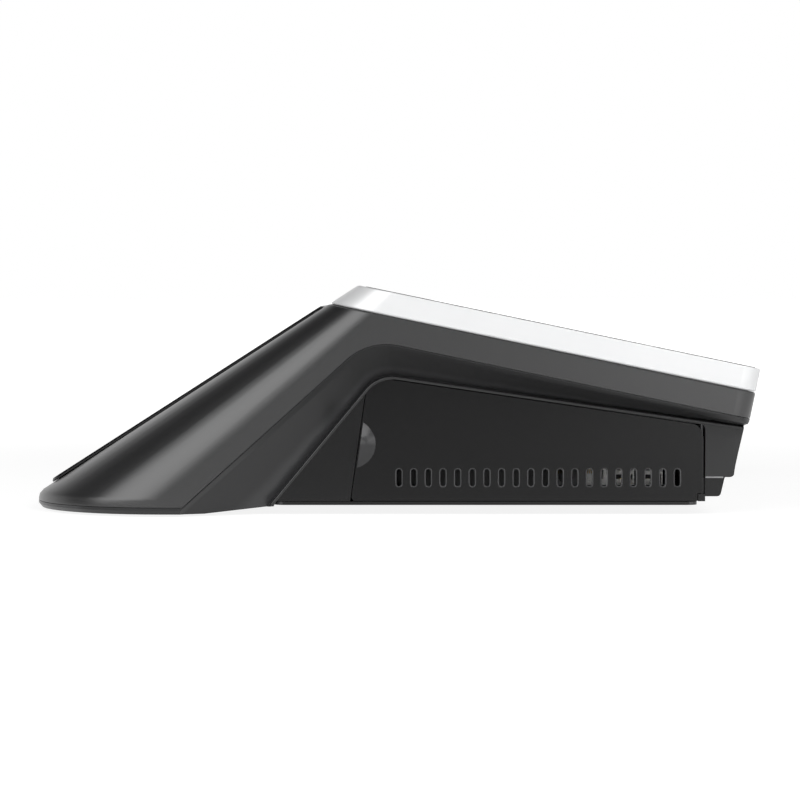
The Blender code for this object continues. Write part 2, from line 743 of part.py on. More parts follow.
def build_display(paint):
    """Silver frame, touch glass, LCD panel and tray, stacked under the deck plane."""
    frame_rings = [
        deck_ring(0, FRAME_EDGE),
        deck_ring(FRAME_EDGE * 0.3, FRAME_EDGE * 0.3),
        deck_ring(FRAME_EDGE, 0),
        deck_ring(FRAME_HEIGHT - FRAME_EDGE, 0),
        deck_ring(FRAME_HEIGHT, FRAME_EDGE),
    ]
    frame = to_object("display_frame", loft(frame_rings), paint["silver"], smooth=40)
    seat = GLASS_THICKNESS - GLASS_PROUD + SEAM
    ledge_bottom = seat + LCD_THICKNESS
    inside = FRAME_RIM + FRAME_LEDGE
    cut(
        frame,
        cutter("glass_seat", loft([deck_ring(-5, FRAME_RIM), deck_ring(seat, FRAME_RIM)])),
        cutter("display_window", loft([deck_ring(-5, inside), deck_ring(FRAME_HEIGHT + 5, inside)])),
        cutter("frame_hollow", loft([deck_ring(ledge_bottom, WALL), deck_ring(FRAME_HEIGHT + 5, WALL)])),
    )
    glass_inset = FRAME_RIM + SEAM
    glass_depth = GLASS_THICKNESS - GLASS_PROUD
    glass = loft([deck_ring(-GLASS_PROUD, glass_inset), deck_ring(glass_depth, glass_inset)])
    to_object("touch_glass", glass, paint["glass"], smooth=40)

    deck = deck_frame()
    top = -seat
    panel = box(
        (-LCD_LENGTH / 2, -LCD_WIDTH / 2, top - LCD_THICKNESS), (LCD_LENGTH / 2, LCD_WIDTH / 2, top)
    )
    to_object("main_lcd_panel", panel, paint["panel"], frame=deck)

    tray_top = -ledge_bottom - SEAM
    tray_inset = WALL + TRAY_MARGIN
    tray = loft(
        [deck_ring(-tray_top, tray_inset), deck_ring(-tray_top + TRAY_THICKNESS, tray_inset)]
    )
    tray = to_object("display_tray", tray, paint["steel"])
    windows = bmesh.new()
    for y in (-1, 0, 1):
        reach = LCD_WIDTH / 3
        low = (-LCD_LENGTH / 4, y * reach - reach / 4, tray_top - 5)
        high = (LCD_LENGTH / 5, y * reach + reach / 4, tray_top + 5)
        if y:
            box(low, high, windows)
    cut(tray, cutter("tray_windows", windows, deck))

    holes, seats = bmesh.new(), bmesh.new()
    spots = []
    reach_x = DECK_LENGTH / 2 - FRAME_RIM - FRAME_LEDGE / 2 - SEAM
    reach_y = HALF - FRAME_RIM - FRAME_LEDGE / 2 - SEAM
    shift = deck_shift(ledge_bottom)
    for x in (-1, 1):
        for y in (-1, 1):
            spots.append((shift + x * reach_x, y * reach_y * 0.62))
    for x, y in spots:
        rod((x, y, tray_top - 6), (x, y, tray_top + 2), SCREW_RADIUS + RUN_CLEARANCE, 12, holes)
        end = tray_top + SCREW_RADIUS * 1.4 + 1
        rod((x, y, tray_top - 2), (x, y, end), SCREW_RADIUS + RUN_CLEARANCE, 12, seats)
    cut(tray, cutter("tray_screw_holes", holes, deck))
    cut(frame, cutter("frame_screw_seats", seats, deck))
    for i, (x, y) in enumerate(spots):
        tip = (x, y, tray_top + SCREW_RADIUS * 1.4 + 1 - RUN_CLEARANCE)
        head = (x, y, tray_top - TRAY_THICKNESS - SEAM)
        made = screw(f"tray_screw_{i + 1}", head, tip, paint["steel"])
        made.matrix_world = deck

    low = tray_top - TRAY_THICKNESS - SEAM
    board = box(
        (LCD_LENGTH / 4, -TOUCH_BOARD_WIDTH / 2, low - BOARD_THICKNESS),
        (LCD_LENGTH / 4 + TOUCH_BOARD_LENGTH, TOUCH_BOARD_WIDTH / 2, low),
    )
    board = to_object("touch_controller_board", board, paint["board"], frame=deck)
    chip = box(
        (LCD_LENGTH / 4 + 8, -10, low - BOARD_THICKNESS - 1.2),
        (LCD_LENGTH / 4 + TOUCH_BOARD_LENGTH - 12, 10, low - BOARD_THICKNESS + 0.5),
    )
    fuse(board, cutter("touch_chip", chip, deck))


def deck_frame():
    """Local frame at the middle of the deck, X forward along it and Z out of it."""
    x, z = SIDE["deck"].along(DECK_LENGTH / 2)
    turn = Matrix.Rotation(math.radians(DECK_TILT), 4, "Y")
    return Matrix.Translation((x * MM, 0, z * MM)) @ turn


def deck_shift(depth):
    """How far the middle of the form moves along the deck as it goes deeper."""
    deck = SIDE["deck"].offset(-depth)
    rear = deck.meet(SIDE["slope"])
    front = deck.meet(SIDE["front"])
    middle = Vector(((rear[0] + front[0]) / 2, (rear[1] + front[1]) / 2))
    x, z = SIDE["deck"].along(DECK_LENGTH / 2)
    along = math.cos(math.radians(DECK_TILT)), -math.sin(math.radians(DECK_TILT))
    return (middle.x - x) * along[0] + (middle.y - z) * along[1]


def screw(name, head, tip, paint):
    """A screw from its head's seat to its tip, with the head behind the seat."""
    head, tip = Vector(head), Vector(tip)
    way = (tip - head).normalized()
    made = to_object(name, rod(head, head - way * SCREW_HEAD_HEIGHT, SCREW_HEAD, 12), paint, smooth=40)
    fuse(made, cutter(f"{name}_shank", rod(head - way * SCREW_HEAD_HEIGHT / 2, tip, SCREW_RADIUS, 12)))
    apply_modifiers(made)
    return made


def slope_frame():
    """Local frame on the rear slope at the top edge, X down the slope and Z out of it."""
    turn = Matrix.Rotation(math.radians(180 - BACK_SLOPE), 4, "Y") @ Matrix.Rotation(math.pi, 4, "X")
    return Matrix.Translation((SIDE["rear_top"] * MM, 0, HEIGHT * MM)) @ turn


def build_customer_display(paint, upper):
    """Cover glass on the rear slope, its LCD panel in a window behind it, and the bracket that holds that."""
    slope = slope_frame()
    start, end = CUSTOMER_START, CUSTOMER_START + CUSTOMER_LENGTH
    half = CUSTOMER_WIDTH / 2
    rings = []
    for inset, height in (
        (0, SEAM),
        (0, SEAM + CUSTOMER_THICKNESS - CUSTOMER_BEVEL),
        (CUSTOMER_BEVEL, SEAM + CUSTOMER_THICKNESS),
    ):
        outline = plate_outline(
            (start + inset, inset - half), (end - inset, half - inset), CUSTOMER_CORNER - inset
        )
        rings.append([(x, y, height) for x, y in outline])
    to_object("customer_glass", loft(rings), paint["glass"], frame=slope)

    middle = start + CUSTOMER_LENGTH / 2
    reach, side = CUSTOMER_LCD_LENGTH / 2, CUSTOMER_LCD_WIDTH / 2
    panel = box((middle - reach, -side, -CUSTOMER_LCD_THICKNESS), (middle + reach, side, 0))
    to_object("customer_lcd_panel", panel, paint["panel"], frame=slope)
    gap = RUN_CLEARANCE
    window = box(
        (middle - reach - gap, -side - gap, -WALL * 4), (middle + reach + gap, side + gap, WALL * 4)
    )
    cut(upper, cutter("customer_window", window, slope))

    top = -max(WALL, CUSTOMER_LCD_THICKNESS) - SEAM
    bottom = top - BRACKET_THICKNESS
    reach += BRACKET_MARGIN
    side += BRACKET_MARGIN
    outline = plate_outline((middle - reach, -side), (middle + reach, side), BRACKET_MARGIN)
    bracket = prism(outline, "Z", bottom, top)
    bracket = to_object("customer_bracket", bracket, paint["steel"], frame=slope)
    hole = plate_outline((middle - reach / 2, -side / 2), (middle + reach / 2, side / 2), BRACKET_MARGIN)
    cut(bracket, cutter("bracket_window", prism(hole, "Z", bottom - 5, top + 5), slope))


def build_upper_housing(paint):
    """Moulded shell of the rear slope and of the dark band round the display slab."""
    start = FRAME_HEIGHT + SEAM
    top = [deck_ring(start, FRAME_EDGE), deck_ring(start + FRAME_EDGE, 0)]
    upper = to_object("upper_housing", outer_form(top), paint["housing"], smooth=30)
    cut(
        upper,
        cutter("below_parting", prism(parting_outline(0, False), "Y", -FAR, FAR)),
        cutter("upper_hollow", inner_form(-10, WALL)),
    )
    return upper


def build_lower_housing(paint):
    """Moulded lower shell: toe trim, lip, waist, base walls, front block and plinth."""
    start = FRAME_HEIGHT + SEAM
    lower = to_object("lower_housing", outer_form([deck_ring(start, 0)]), paint["base"], smooth=30)
    hollow = cutter("lower_hollow", inner_form(-10, WALL))
    cut(
        hollow,
        cutter("keep_waist_near", waist_keep_out(-1)),
        cutter("keep_waist_far", waist_keep_out(1)),
        cutter("keep_floor", prism(floor_outline(), "Y", -FAR, FAR)),
    )
    cut(
        lower,
        cutter("above_parting", prism(parting_outline(SEAM, True), "Y", -FAR, FAR)),
        cutter("underside", prism(underside_outline(), "Y", -FAR, FAR)),
        cutter("waist_near", waist_cutter(-1)),
        cutter("waist_far", waist_cutter(1)),
        hollow,
    )
    apply_modifiers(lower)

    def base_corner(start, end):
        on_side = all(abs(abs(point.y) - BASE_HALF) < 0.01 for point in (start, end))
        ahead = min(start.x, end.x) > SIDE["cover_front"]
        return on_side and ahead and abs(start.z - end.z) > BLOCK_ROUND * 2

    bevel_where(lower, base_corner, BASE_FRONT_CORNER, 5)

    outline = opening_outline()
    low = PLATE_RISE + PLATE_THICKNESS + SEAM
    lug_rear, lug_front, lug_low, lug_high = lug_box()
    for side, name in ((-1, "near"), (1, "far")):
        def depth(value):
            return side * (BASE_HALF - value)

        opening = prism(outline, "Y", depth(-5), depth(BASE_WALL + 2))
        recess = box(
            (SIDE["plinth_rear"] - 5, min(depth(-5), depth(PLINTH_INSET)), -10),
            (FAR, max(depth(-5), depth(PLINTH_INSET)), SIDE["block_bottom"]),
        )
        cut(lower, cutter(f"{name}_opening", opening), cutter(f"{name}_plinth_side", recess))
        lug = box(
            (lug_rear, min(depth(0), depth(BASE_WALL)), lug_low),
            (lug_front, max(depth(0), depth(BASE_WALL)), lug_high),
        )
        fuse(lower, cutter(f"{name}_hinge_lug", lug))
        axis = hinge_axis(side)
        top = hinge_top()
        seats = rod((*axis, top - 5), (*axis, top + HINGE_SEAT), HINGE_ROD + RUN_CLEARANCE, 12)
        rod((*axis, lug_low + 1.2), (*axis, lug_high + 5), HINGE_ROD + RUN_CLEARANCE, 12, seats)
        cut(lower, cutter(f"{name}_rod_seats", seats))
    return lower


def grip_ball(name, side, radius, gap):
    """A ball for the side cover's half-round grip, cut off at a gap from the cover's rear edge."""
    ball = bmesh.new()
    x = SIDE["cover_rear"].x - GRIP_BACK
    y = side * (BASE_HALF + GRIP_PROUD - GRIP_BALL)
    spot = Matrix.Translation((x, y, GRIP_HEIGHT)) @ Matrix.Rotation(math.pi / 2, 4, "X")
    bmesh.ops.create_uvsphere(ball, u_segments=32, v_segments=18, radius=radius, matrix=spot)
    made = cutter(name, ball)
    edge = SIDE["cover_rear"].offset(-gap)
    behind = [edge.along(-FAR / 4), edge.along(FAR / 4), (-FAR, FAR / 4), (-FAR, -FAR / 4)]
    cut(made, cutter(f"{name}_edge", prism(behind, "Y", -FAR, FAR)))
    return made


def build_cover(paint, side, name):
    """Hinged side cover with its vent slots, finger grip and hinge knuckle, and the rod it turns on."""
    left, top, right, low = cover_outline(0, PLATE_RISE + PLATE_THICKNESS + COVER_GAP)
    lug_rear, _, _, lug_high = lug_box()
    notch_x, notch_z = lug_rear - COVER_GAP, lug_high + COVER_GAP
    outline = rounded(
        [
            (*left.at_z(low), COVER_CORNER_LOW),
            (notch_x, low),
            (notch_x, notch_z),
            (right - HINGE_KNUCKLE, notch_z),
            (*top.at_x(right - HINGE_KNUCKLE), COVER_CORNER_FRONT),
            (*left.meet(top), COVER_CORNER_REAR),
        ],
        6,
    )

    def depth(value):
        return side * (BASE_HALF - value)

    made = to_object(f"{name}_cover", prism(outline, "Y", depth(0), depth(COVER_THICKNESS)), paint["base"])
    axis = hinge_axis(side)
    knuckle_top = top.at_x(right)[1] - COVER_CORNER_FRONT
    knuckle = rod((*axis, notch_z), (*axis, knuckle_top), HINGE_KNUCKLE, 20)
    fuse(made, cutter(f"{name}_knuckle", knuckle))
    bore = rod((*axis, notch_z - 5), (*axis, hinge_top() + 20), HINGE_ROD + RUN_CLEARANCE, 12)
    grip = grip_ball(f"{name}_grip", side, GRIP_BALL, GRIP_GAP)
    inside = sorted((depth(COVER_THICKNESS / 2), depth(FAR)))
    cut(grip, cutter(f"{name}_grip_face", box((-FAR, inside[0], -FAR), (FAR, inside[1], FAR))))
    fuse(made, grip)
    hollow = grip_ball(f"{name}_grip_hollow", side, GRIP_BALL - GRIP_WALL, GRIP_GAP + GRIP_WALL)
    slots = bmesh.new()
    for i in range(SLOT_COUNT):
        x = slot_at(i + 1)
        rings = []
        for grow, deep in ((SLOT_CHAMFER * 2, -SLOT_CHAMFER), (0, SLOT_CHAMFER), (0, COVER_THICKNESS + 3)):
            half, reach = SLOT_WIDTH / 2 + grow, SLOT_LENGTH / 2 + grow
            rear_low = (x - half, SLOT_HEIGHT - reach)
            front_high = (x + half, SLOT_HEIGHT + reach)
            slot = plate_outline(rear_low, front_high, half * 0.98, 3)
            rings.append([(a, depth(deep), b) for a, b in slot])
        loft(rings, slots)
    cut(made, cutter(f"{name}_bore", bore), hollow, cutter(f"{name}_slots", slots))
    set_origin(made, (*axis, (notch_z + knuckle_top) / 2))

    _, _, lug_low, _ = lug_box()
    start = lug_low + 1.2 + RUN_CLEARANCE
    pin = rod((*axis, start), (*axis, hinge_top() + HINGE_SEAT - RUN_CLEARANCE), HINGE_ROD, 12)
    to_object(f"{name}_hinge_rod", pin, paint["steel"], smooth=40)


def build_base_plate(paint, lower):
    """Bottom closing plate with vents, cable slots, screws and rubber feet."""
    low, high = PLATE_RISE, PLATE_RISE + PLATE_THICKNESS
    rear = SIDE["base_rear"].at_z(high + SEAM)[0]
    front = SIDE["plate_front"]
    outline = plate_outline((rear, -BASE_HALF), (front, BASE_HALF), BASE_FRONT_CORNER)
    plate = to_object("base_plate", prism(outline, "Z", low, high), paint["base"])
    openings = bmesh.new()
    middle = (rear + front) / 2
    for i in range(VENT_BARS):
        x = middle + (i - (VENT_BARS - 1) / 2) * VENT_BAR_PITCH
        half = VENT_BAR_WIDTH / 2
        end = VENT_BAR_LENGTH / 2
        slot = plate_outline((x - half, -end), (x + half, end), half * 0.98, 3)
        prism(slot, "Z", low - 5, high + 5, openings)
    for side in (-1, 1):
        y = side * (BASE_HALF - BASE_WALL - CABLE_SLOT_WIDTH / 2)
        half = CABLE_SLOT_WIDTH / 2
        reach = CABLE_SLOT_LENGTH / 2
        slot = plate_outline((middle - reach, y - half), (middle + reach, y + half), half * 0.5, 4)
        prism(slot, "Z", low - 5, high + 5, openings)
        x, y = speaker_spot(side)
        for i in range(SPEAKER_SLOTS):
            at = x + (i - (SPEAKER_SLOTS - 1) / 2) * VENT_BAR_WIDTH * 1.5
            half, reach = VENT_BAR_WIDTH / 4, SPEAKER_WIDTH / 3
            slot = plate_outline((at - half, y - reach), (at + half, y + reach), half * 0.98, 2)
            prism(slot, "Z", low - 5, high + 5, openings)
    cut(plate, cutter("plate_openings", openings))

    spots = []
    for x in (SIDE["base_rear"].at_z(high + SEAM + WALL)[0] + SILL / 2, front - SILL / 2):
        spots += [(x, -SCREW_SPREAD), (x, 0), (x, SCREW_SPREAD)]
    tip = high + SEAM + SCREW_LENGTH
    holes, seats = bmesh.new(), bmesh.new()
    for x, y in spots:
        rod((x, y, low - 5), (x, y, high + 5), SCREW_RADIUS + RUN_CLEARANCE, 12, holes)
        rod((x, y, low), (x, y, tip + RUN_CLEARANCE), SCREW_RADIUS + RUN_CLEARANCE, 12, seats)
    cut(plate, cutter("plate_screw_holes", holes))
    cut(lower, cutter("sill_screw_seats", seats))
    for i, (x, y) in enumerate(spots):
        screw(f"base_screw_{i + 1}", (x, y, low - SEAM), (x, y, tip), paint["steel"])

    for x, end in ((rear + FOOT_REAR, "rear"), (front - FOOT_FRONT, "front")):
        for side, name in ((-1, "near"), (1, "far")):
            y = side * FOOT_SPREAD
            foot = rod((x, y, 0), (x, y, low - SEAM), FOOT_RADIUS * 0.92, 24, None, FOOT_RADIUS)
            to_object(f"{end}_foot_{name}", foot, paint["rubber"], smooth=40)
    for side, name in ((-1, "near"), (1, "far")):
        x, y = SIDE["toe"] + PAD_BACK, side * PAD_SPREAD
        half, reach = PAD_LENGTH / 2, PAD_WIDTH / 2
        pad = plate_outline(
            (x - half, y - reach), (x + half, y + reach), half * 0.98, 5
        )
        to_object(f"toe_pad_{name}", prism(pad, "Z", 0, TOE_RISE - SEAM), paint["rubber"])


def slot_at(number):
    """Centre of the side covers' vent slot, counted from the rear. A half lies between two slots."""
    return SIDE["rear_top"] + SLOT_FIRST + (number - 1) * SLOT_PITCH


def port_floor():
    """Top of the port boards, which lie just above the lower housing's front sill."""
    return PLINTH_BOTTOM + WALL + SEAM + BOARD_THICKNESS


def port(name, x, width, height, paint, side, socket, tongue=None):
    """A connector on its board. socket and tongue are the width and height of its mouth and blade."""
    face = BASE_HALF - IO_SETBACK + PORT_REACH
    axis = port_floor() + SEAM + height / 2

    def span(a, b, w, h, bm=None):
        ends = sorted((side * a, side * b))
        return box((x - w / 2, ends[0], axis - h / 2), (x + w / 2, ends[1], axis + h / 2), bm)

    made = to_object(name, span(face, face - PORT_DEPTH, width, height), paint)
    cut(made, cutter(f"{name}_mouth", span(face + 5, face - PORT_DEPTH * 0.7, *socket)))
    if tongue:
        fuse(made, cutter(f"{name}_tongue", span(face - 1.0, face - PORT_DEPTH * 0.8, *tongue)))
    return made


def build_io(paint, side, name, ports):
    """Folded I/O plate behind a side cover, with its board and connectors."""
    y = BASE_HALF - IO_SETBACK
    low = PLATE_RISE + PLATE_THICKNESS + SEAM
    rear = SIDE["cover_rear"].x + IO_REAR_ROOM
    front = SIDE["plate_front"] - SILL - SEAM
    board_low = port_floor() - BOARD_THICKNESS
    shelf = board_low - SEAM
    upright = sorted((side * y, side * (y - IO_THICKNESS)))
    foot = sorted((side * y, side * (y - IO_FOOT)))
    plate = box((rear, upright[0], low), (front, upright[1], low + IO_HEIGHT))
    plate = to_object(f"{name}_io_plate", plate, paint["steel"])
    folds = bmesh.new()
    box((rear, foot[0], low), (front, foot[1], low + IO_THICKNESS), folds)
    box((rear, foot[0], shelf - IO_THICKNESS), (front, foot[1], shelf), folds)
    wing = box((front - 1, upright[0], board_low), (slot_at(SLOT_COUNT + 1), upright[1], low + IO_HEIGHT))
    fuse(plate, cutter(f"{name}_io_folds", folds), cutter(f"{name}_io_wing", wing))

    holes = bmesh.new()
    ends = []
    for label, slot, width, height, colour, socket, tongue in ports:
        x = slot_at(slot)
        port(f"{name}_{label}", x, width, height, paint[colour], side, socket, tongue)
        c = RUN_CLEARANCE
        base = port_floor() + SEAM
        box(
            (x - width / 2 - c, upright[0] - 5, base - c),
            (x + width / 2 + c, upright[1] + 5, base + height + c),
            holes,
        )
        ends += [x - width / 2, x + width / 2]
    cut(plate, cutter(f"{name}_port_holes", holes))
    board = sorted((side * (y - IO_THICKNESS - SEAM), side * (y + PORT_REACH - PORT_DEPTH - 1)))
    card = box((min(ends), board[0], board_low), (max(ends), board[1], port_floor()))
    to_object(f"{name}_port_board", card, paint["board"])


def build_electronics(paint):
    """Mainboard with its heat sink and modules, and the power board, carried by the base plate."""
    floor = PLATE_RISE + PLATE_THICKNESS + SEAM
    rear = SIDE["base_rear"].at_z(floor + WALL)[0] + SILL
    front = SIDE["plate_front"] - SILL
    low = floor + BOARD_RISE
    high = low + BOARD_THICKNESS
    start = rear + RUN_CLEARANCE * 4
    centre = (start + POWER_BOARD_LENGTH + front) / 2
    half_l, half_w = BOARD_LENGTH / 2, BOARD_WIDTH / 2
    outline = plate_outline((centre - half_l, -half_w), (centre + half_l, half_w), 3.0, 2)
    board = to_object("mainboard", prism(outline, "Z", low, high), paint["board"])
    i = 0
    for x in (centre - half_l + STANDOFF_EDGE, centre + half_l - STANDOFF_EDGE):
        for y in (STANDOFF_EDGE - half_w, half_w - STANDOFF_EDGE):
            i += 1
            stud = rod((x, y, floor), (x, y, low - SEAM), STANDOFF_RADIUS, 6)
            to_object(f"standoff_{i}", stud, paint["steel"])

    chip_x = centre - half_l / 3
    top = high + SEAM
    cpu = block(chip_x, 0, top, CPU_SIDE, CPU_SIDE, CPU_HEIGHT)
    to_object("processor", cpu, paint["chip"])
    base = top + CPU_HEIGHT + SEAM
    sink = block(chip_x, 0, base, SINK_SIDE, SINK_SIDE, SINK_BASE)
    sink = to_object("heat_sink", sink, paint["alloy"])
    fins = bmesh.new()
    spread = SINK_SIDE - SINK_FIN_THICKNESS
    for i in range(SINK_FINS):
        y = (i / (SINK_FINS - 1) - 0.5) * spread
        height = SINK_BASE + SINK_FIN_HEIGHT - 1
        block(chip_x, y, base + 1, SINK_SIDE - 1, SINK_FIN_THICKNESS * 0.98, height, fins)
    fuse(sink, cutter("sink_fins", fins))

    x = centre + half_l / 2
    memory = block(x, -half_w / 2, top, MEMORY_WIDTH, MEMORY_LENGTH, MEMORY_HEIGHT)
    to_object("memory_module", memory, paint["board"])
    drive = block(x, half_w / 2, top, DRIVE_WIDTH, DRIVE_LENGTH, DRIVE_HEIGHT)
    to_object("solid_state_drive", drive, paint["chip"])

    reach = POWER_BOARD_WIDTH / 2
    outline = plate_outline((start, -reach), (start + POWER_BOARD_LENGTH, reach), 2.0, 2)
    power = to_object("power_board", prism(outline, "Z", floor, floor + BOARD_THICKNESS), paint["board"])
    coils = bmesh.new()
    for y in (-1, 0, 1):
        spot = (start + POWER_BOARD_LENGTH / 2, y * POWER_BOARD_WIDTH / 3, floor + BOARD_THICKNESS / 2)
        rod(spot, (spot[0], spot[1], floor + BOARD_THICKNESS + COIL_HEIGHT), COIL_RADIUS, 20, coils)
    fuse(power, cutter("power_coils", coils))


def build_front(paint, lower):
    """Power button with its switch and board, and the status lens, in the front block's wall."""
    face = SIDE["base_front"]
    lean = math.radians(BASE_FRONT_LEAN)
    out = Vector((math.cos(lean), 0, -math.sin(lean)))
    across = Vector((0, 1, 0))
    turn = Matrix((across, out.cross(across), out)).transposed().to_4x4()
    x, z = face.at_z((SIDE["block_bottom"] + SIDE["block_top"]) / 2)
    spot = Vector((x, BUTTON_SIDE, z))
    inside = spot - out * (WALL + SEAM)

    tip = spot + out * BUTTON_PROUD
    flange_end = inside - out * BUTTON_FLANGE_THICKNESS
    stem = rod(inside - out * BUTTON_FLANGE_THICKNESS / 2, tip, BUTTON_RADIUS, 28)
    button = to_object("power_button", stem, paint["silver"], smooth=40)
    fuse(button, cutter("button_flange", rod(flange_end, inside, BUTTON_FLANGE, 28)))
    hole = rod(inside - out, tip + out, BUTTON_RADIUS + RUN_CLEARANCE, 28)
    cut(lower, cutter("button_hole", hole))
    set_origin(button, spot)

    back = flange_end - out * (BUTTON_TRAVEL + RUN_CLEARANCE)
    half = SWITCH_SIDE / 2
    switch = box((-half, -half, -SWITCH_HEIGHT), (half, half, 0))
    to_object("button_switch", switch, paint["chip"], frame=Matrix.Translation(back * MM) @ turn)
    seat = back - out * (SWITCH_HEIGHT + SEAM)
    reach = BUTTON_FLANGE + BOSS_RADIUS * 2
    board = box((-reach - BOSS_RADIUS, -half, -BOARD_THICKNESS), (reach + BOSS_RADIUS, half, 0))
    to_object("button_board", board, paint["board"], frame=Matrix.Translation(seat * MM) @ turn)
    bosses = bmesh.new()
    for side in (-1, 1):
        foot = across * side * reach
        rod(seat + out * SEAM + foot, spot - out * WALL / 2 + foot, BOSS_RADIUS, 16, bosses)
    fuse(lower, cutter("button_bosses", bosses))

    lens_spot = spot - Vector((0, LENS_PITCH + reach, 0))
    lens_inside = lens_spot - out * (WALL + SEAM)
    pipe = rod(lens_inside - out * LENS_RADIUS / 2, lens_spot, LENS_RADIUS, 16)
    lens = to_object("status_lens", pipe, paint["lens"], smooth=40)
    flange = rod(lens_inside - out * LENS_RADIUS, lens_inside, LENS_RADIUS * 1.6, 16)
    fuse(lens, cutter("lens_flange", flange))
    hole = rod(lens_inside - out, lens_spot + out, LENS_RADIUS + RUN_CLEARANCE, 16)
    cut(lower, cutter("lens_hole", hole))


def build_speakers(paint):
    """A speaker on each side of the mainboard, over its slots in the base plate."""
    floor = PLATE_RISE + PLATE_THICKNESS + SEAM
    for side, name in ((-1, "near"), (1, "far")):
        x, y = speaker_spot(side)
        body = block(x, y, floor, SPEAKER_LENGTH, SPEAKER_WIDTH, SPEAKER_HEIGHT)
        made = to_object(f"speaker_{name}", body, paint["chip"])
        top = floor + SPEAKER_HEIGHT
        magnet = rod((x, y, top - 1), (x, y, top + SPEAKER_MAGNET), SPEAKER_WIDTH * 0.4, 20)
        fuse(made, cutter(f"speaker_{name}_magnet", magnet))


def speaker_spot(side):
    rear = SIDE["base_rear"].at_z(PLATE_RISE + PLATE_THICKNESS + SEAM)[0]
    inner = BOARD_WIDTH / 2
    outer = BASE_HALF - IO_SETBACK + PORT_REACH - PORT_DEPTH
    return (rear + SIDE["plate_front"]) / 2, side * (inner + outer) / 2


def build():
    for old in list(bpy.data.objects):
        bpy.data.objects.remove(old, do_unlink=True)
    paint = paints()
    build_display(paint)
    upper = build_upper_housing(paint)
    build_customer_display(paint, upper)
    lower = build_lower_housing(paint)
    build_base_plate(paint, lower)
    for side, name in ((-1, "near"), (1, "far")):
        build_cover(paint, side, name)
    build_io(paint, -1, "near", NEAR_PORTS)
    build_io(paint, 1, "far", FAR_PORTS)
    build_electronics(paint)
    build_speakers(paint)
    build_front(paint, lower)


build()
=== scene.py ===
# %% [markdown]
# # A countertop sales terminal, dressed for its picture
# The terminal's pieces arrive finished in size and place: housings, covers, screen, connectors and feet.
# This lesson gives each one its surface, adds the small parts that only the eye needs, and lights it
# from the side. The pieces could be modelled again here, but then the look and the mechanism would
# drift apart, so every step below works on top of the frame that is loaded first.

# %% Load the measured frame
import json
import math

import bmesh
import bpy
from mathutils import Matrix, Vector


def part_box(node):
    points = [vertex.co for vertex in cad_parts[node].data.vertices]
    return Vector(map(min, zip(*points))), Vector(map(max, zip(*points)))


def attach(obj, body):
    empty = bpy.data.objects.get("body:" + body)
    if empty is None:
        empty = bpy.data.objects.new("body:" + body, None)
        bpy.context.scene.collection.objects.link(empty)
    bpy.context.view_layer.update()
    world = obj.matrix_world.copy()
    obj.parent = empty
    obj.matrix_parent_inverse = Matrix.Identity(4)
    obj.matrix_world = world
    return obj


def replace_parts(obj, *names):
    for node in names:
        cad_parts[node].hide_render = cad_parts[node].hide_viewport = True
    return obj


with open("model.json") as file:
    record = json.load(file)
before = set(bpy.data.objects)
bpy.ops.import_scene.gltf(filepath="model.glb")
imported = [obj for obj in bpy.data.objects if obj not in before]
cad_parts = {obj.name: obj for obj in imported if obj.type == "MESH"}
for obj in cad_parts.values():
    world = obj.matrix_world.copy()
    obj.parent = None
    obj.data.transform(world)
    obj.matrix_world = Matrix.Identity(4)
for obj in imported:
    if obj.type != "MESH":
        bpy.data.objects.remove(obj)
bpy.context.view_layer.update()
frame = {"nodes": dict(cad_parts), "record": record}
nodes = frame["nodes"]
scene = bpy.context.scene

# %% [markdown]
# ## Camera
# The picture is a plain side view from a little above the counter. A long lens keeps the far side from
# shrinking, which is why the back of the terminal hardly shows past its near side. The lens could be
# guessed by eye, but the focal length follows from the distance and from the size of one pixel on the
# near side, so it is worked out from those.

# %% Camera
IMAGE_SIZE = 800
PIXEL = 0.0006
CAMERA_DISTANCE = 1.70
CAMERA_HEIGHT = 0.1336
CAMERA_X = 0.0046
LOOK_DOWN_DEGREES = 2.12
near_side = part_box("upper_housing")[0][1]
focal_pixels = CAMERA_DISTANCE / PIXEL
lens = bpy.data.cameras.new("side_camera")
lens.sensor_width = 36
lens.lens = lens.sensor_width * focal_pixels / IMAGE_SIZE
camera = bpy.data.objects.new("side_camera", lens)
camera.location = (CAMERA_X, near_side - CAMERA_DISTANCE, CAMERA_HEIGHT)
camera.rotation_euler = (math.radians(90 - LOOK_DOWN_DEGREES), 0, 0)
scene.collection.objects.link(camera)
scene.camera = camera
print("lens", round(lens.lens, 1), "mm")

# %% [markdown]
# ## Node helpers
# Every surface below is a small tree of shader nodes. A tree can be drawn by hand in the shader editor,
# but a script has to make each node and each link by name. Four helpers keep that short: one makes any
# node and takes numbers or other nodes' outputs as its inputs, one does a sum, one maps a range to
# another, and one splits a vector.

# %% Node helpers
def add_node(tree, kind, inputs=None, **settings):
    """A node with its settings; an input is a plain value or another node's output."""
    made = tree.nodes.new(kind)
    for name, value in settings.items():
        setattr(made, name, value)
    for socket, value in (inputs or {}).items():
        if isinstance(value, bpy.types.NodeSocket):
            tree.links.new(value, made.inputs[socket])
        else:
            made.inputs[socket].default_value = value
    return made


def maths(tree, operation, *values):
    """The output of a sum on numbers or other outputs."""
    made = add_node(tree, "ShaderNodeMath", operation=operation, inputs=dict(enumerate(values)))
    return made.outputs[0]


def ramp(tree, value, start, end, low=0.0, high=1.0, soft=False):
    """The output that goes from low to high while a value goes from start to end, eased where soft."""
    easing = "SMOOTHSTEP" if soft else "LINEAR"
    span = {"Value": value, "From Min": start, "From Max": end, "To Min": low, "To Max": high}
    return add_node(tree, "ShaderNodeMapRange", interpolation_type=easing, inputs=span).outputs["Result"]


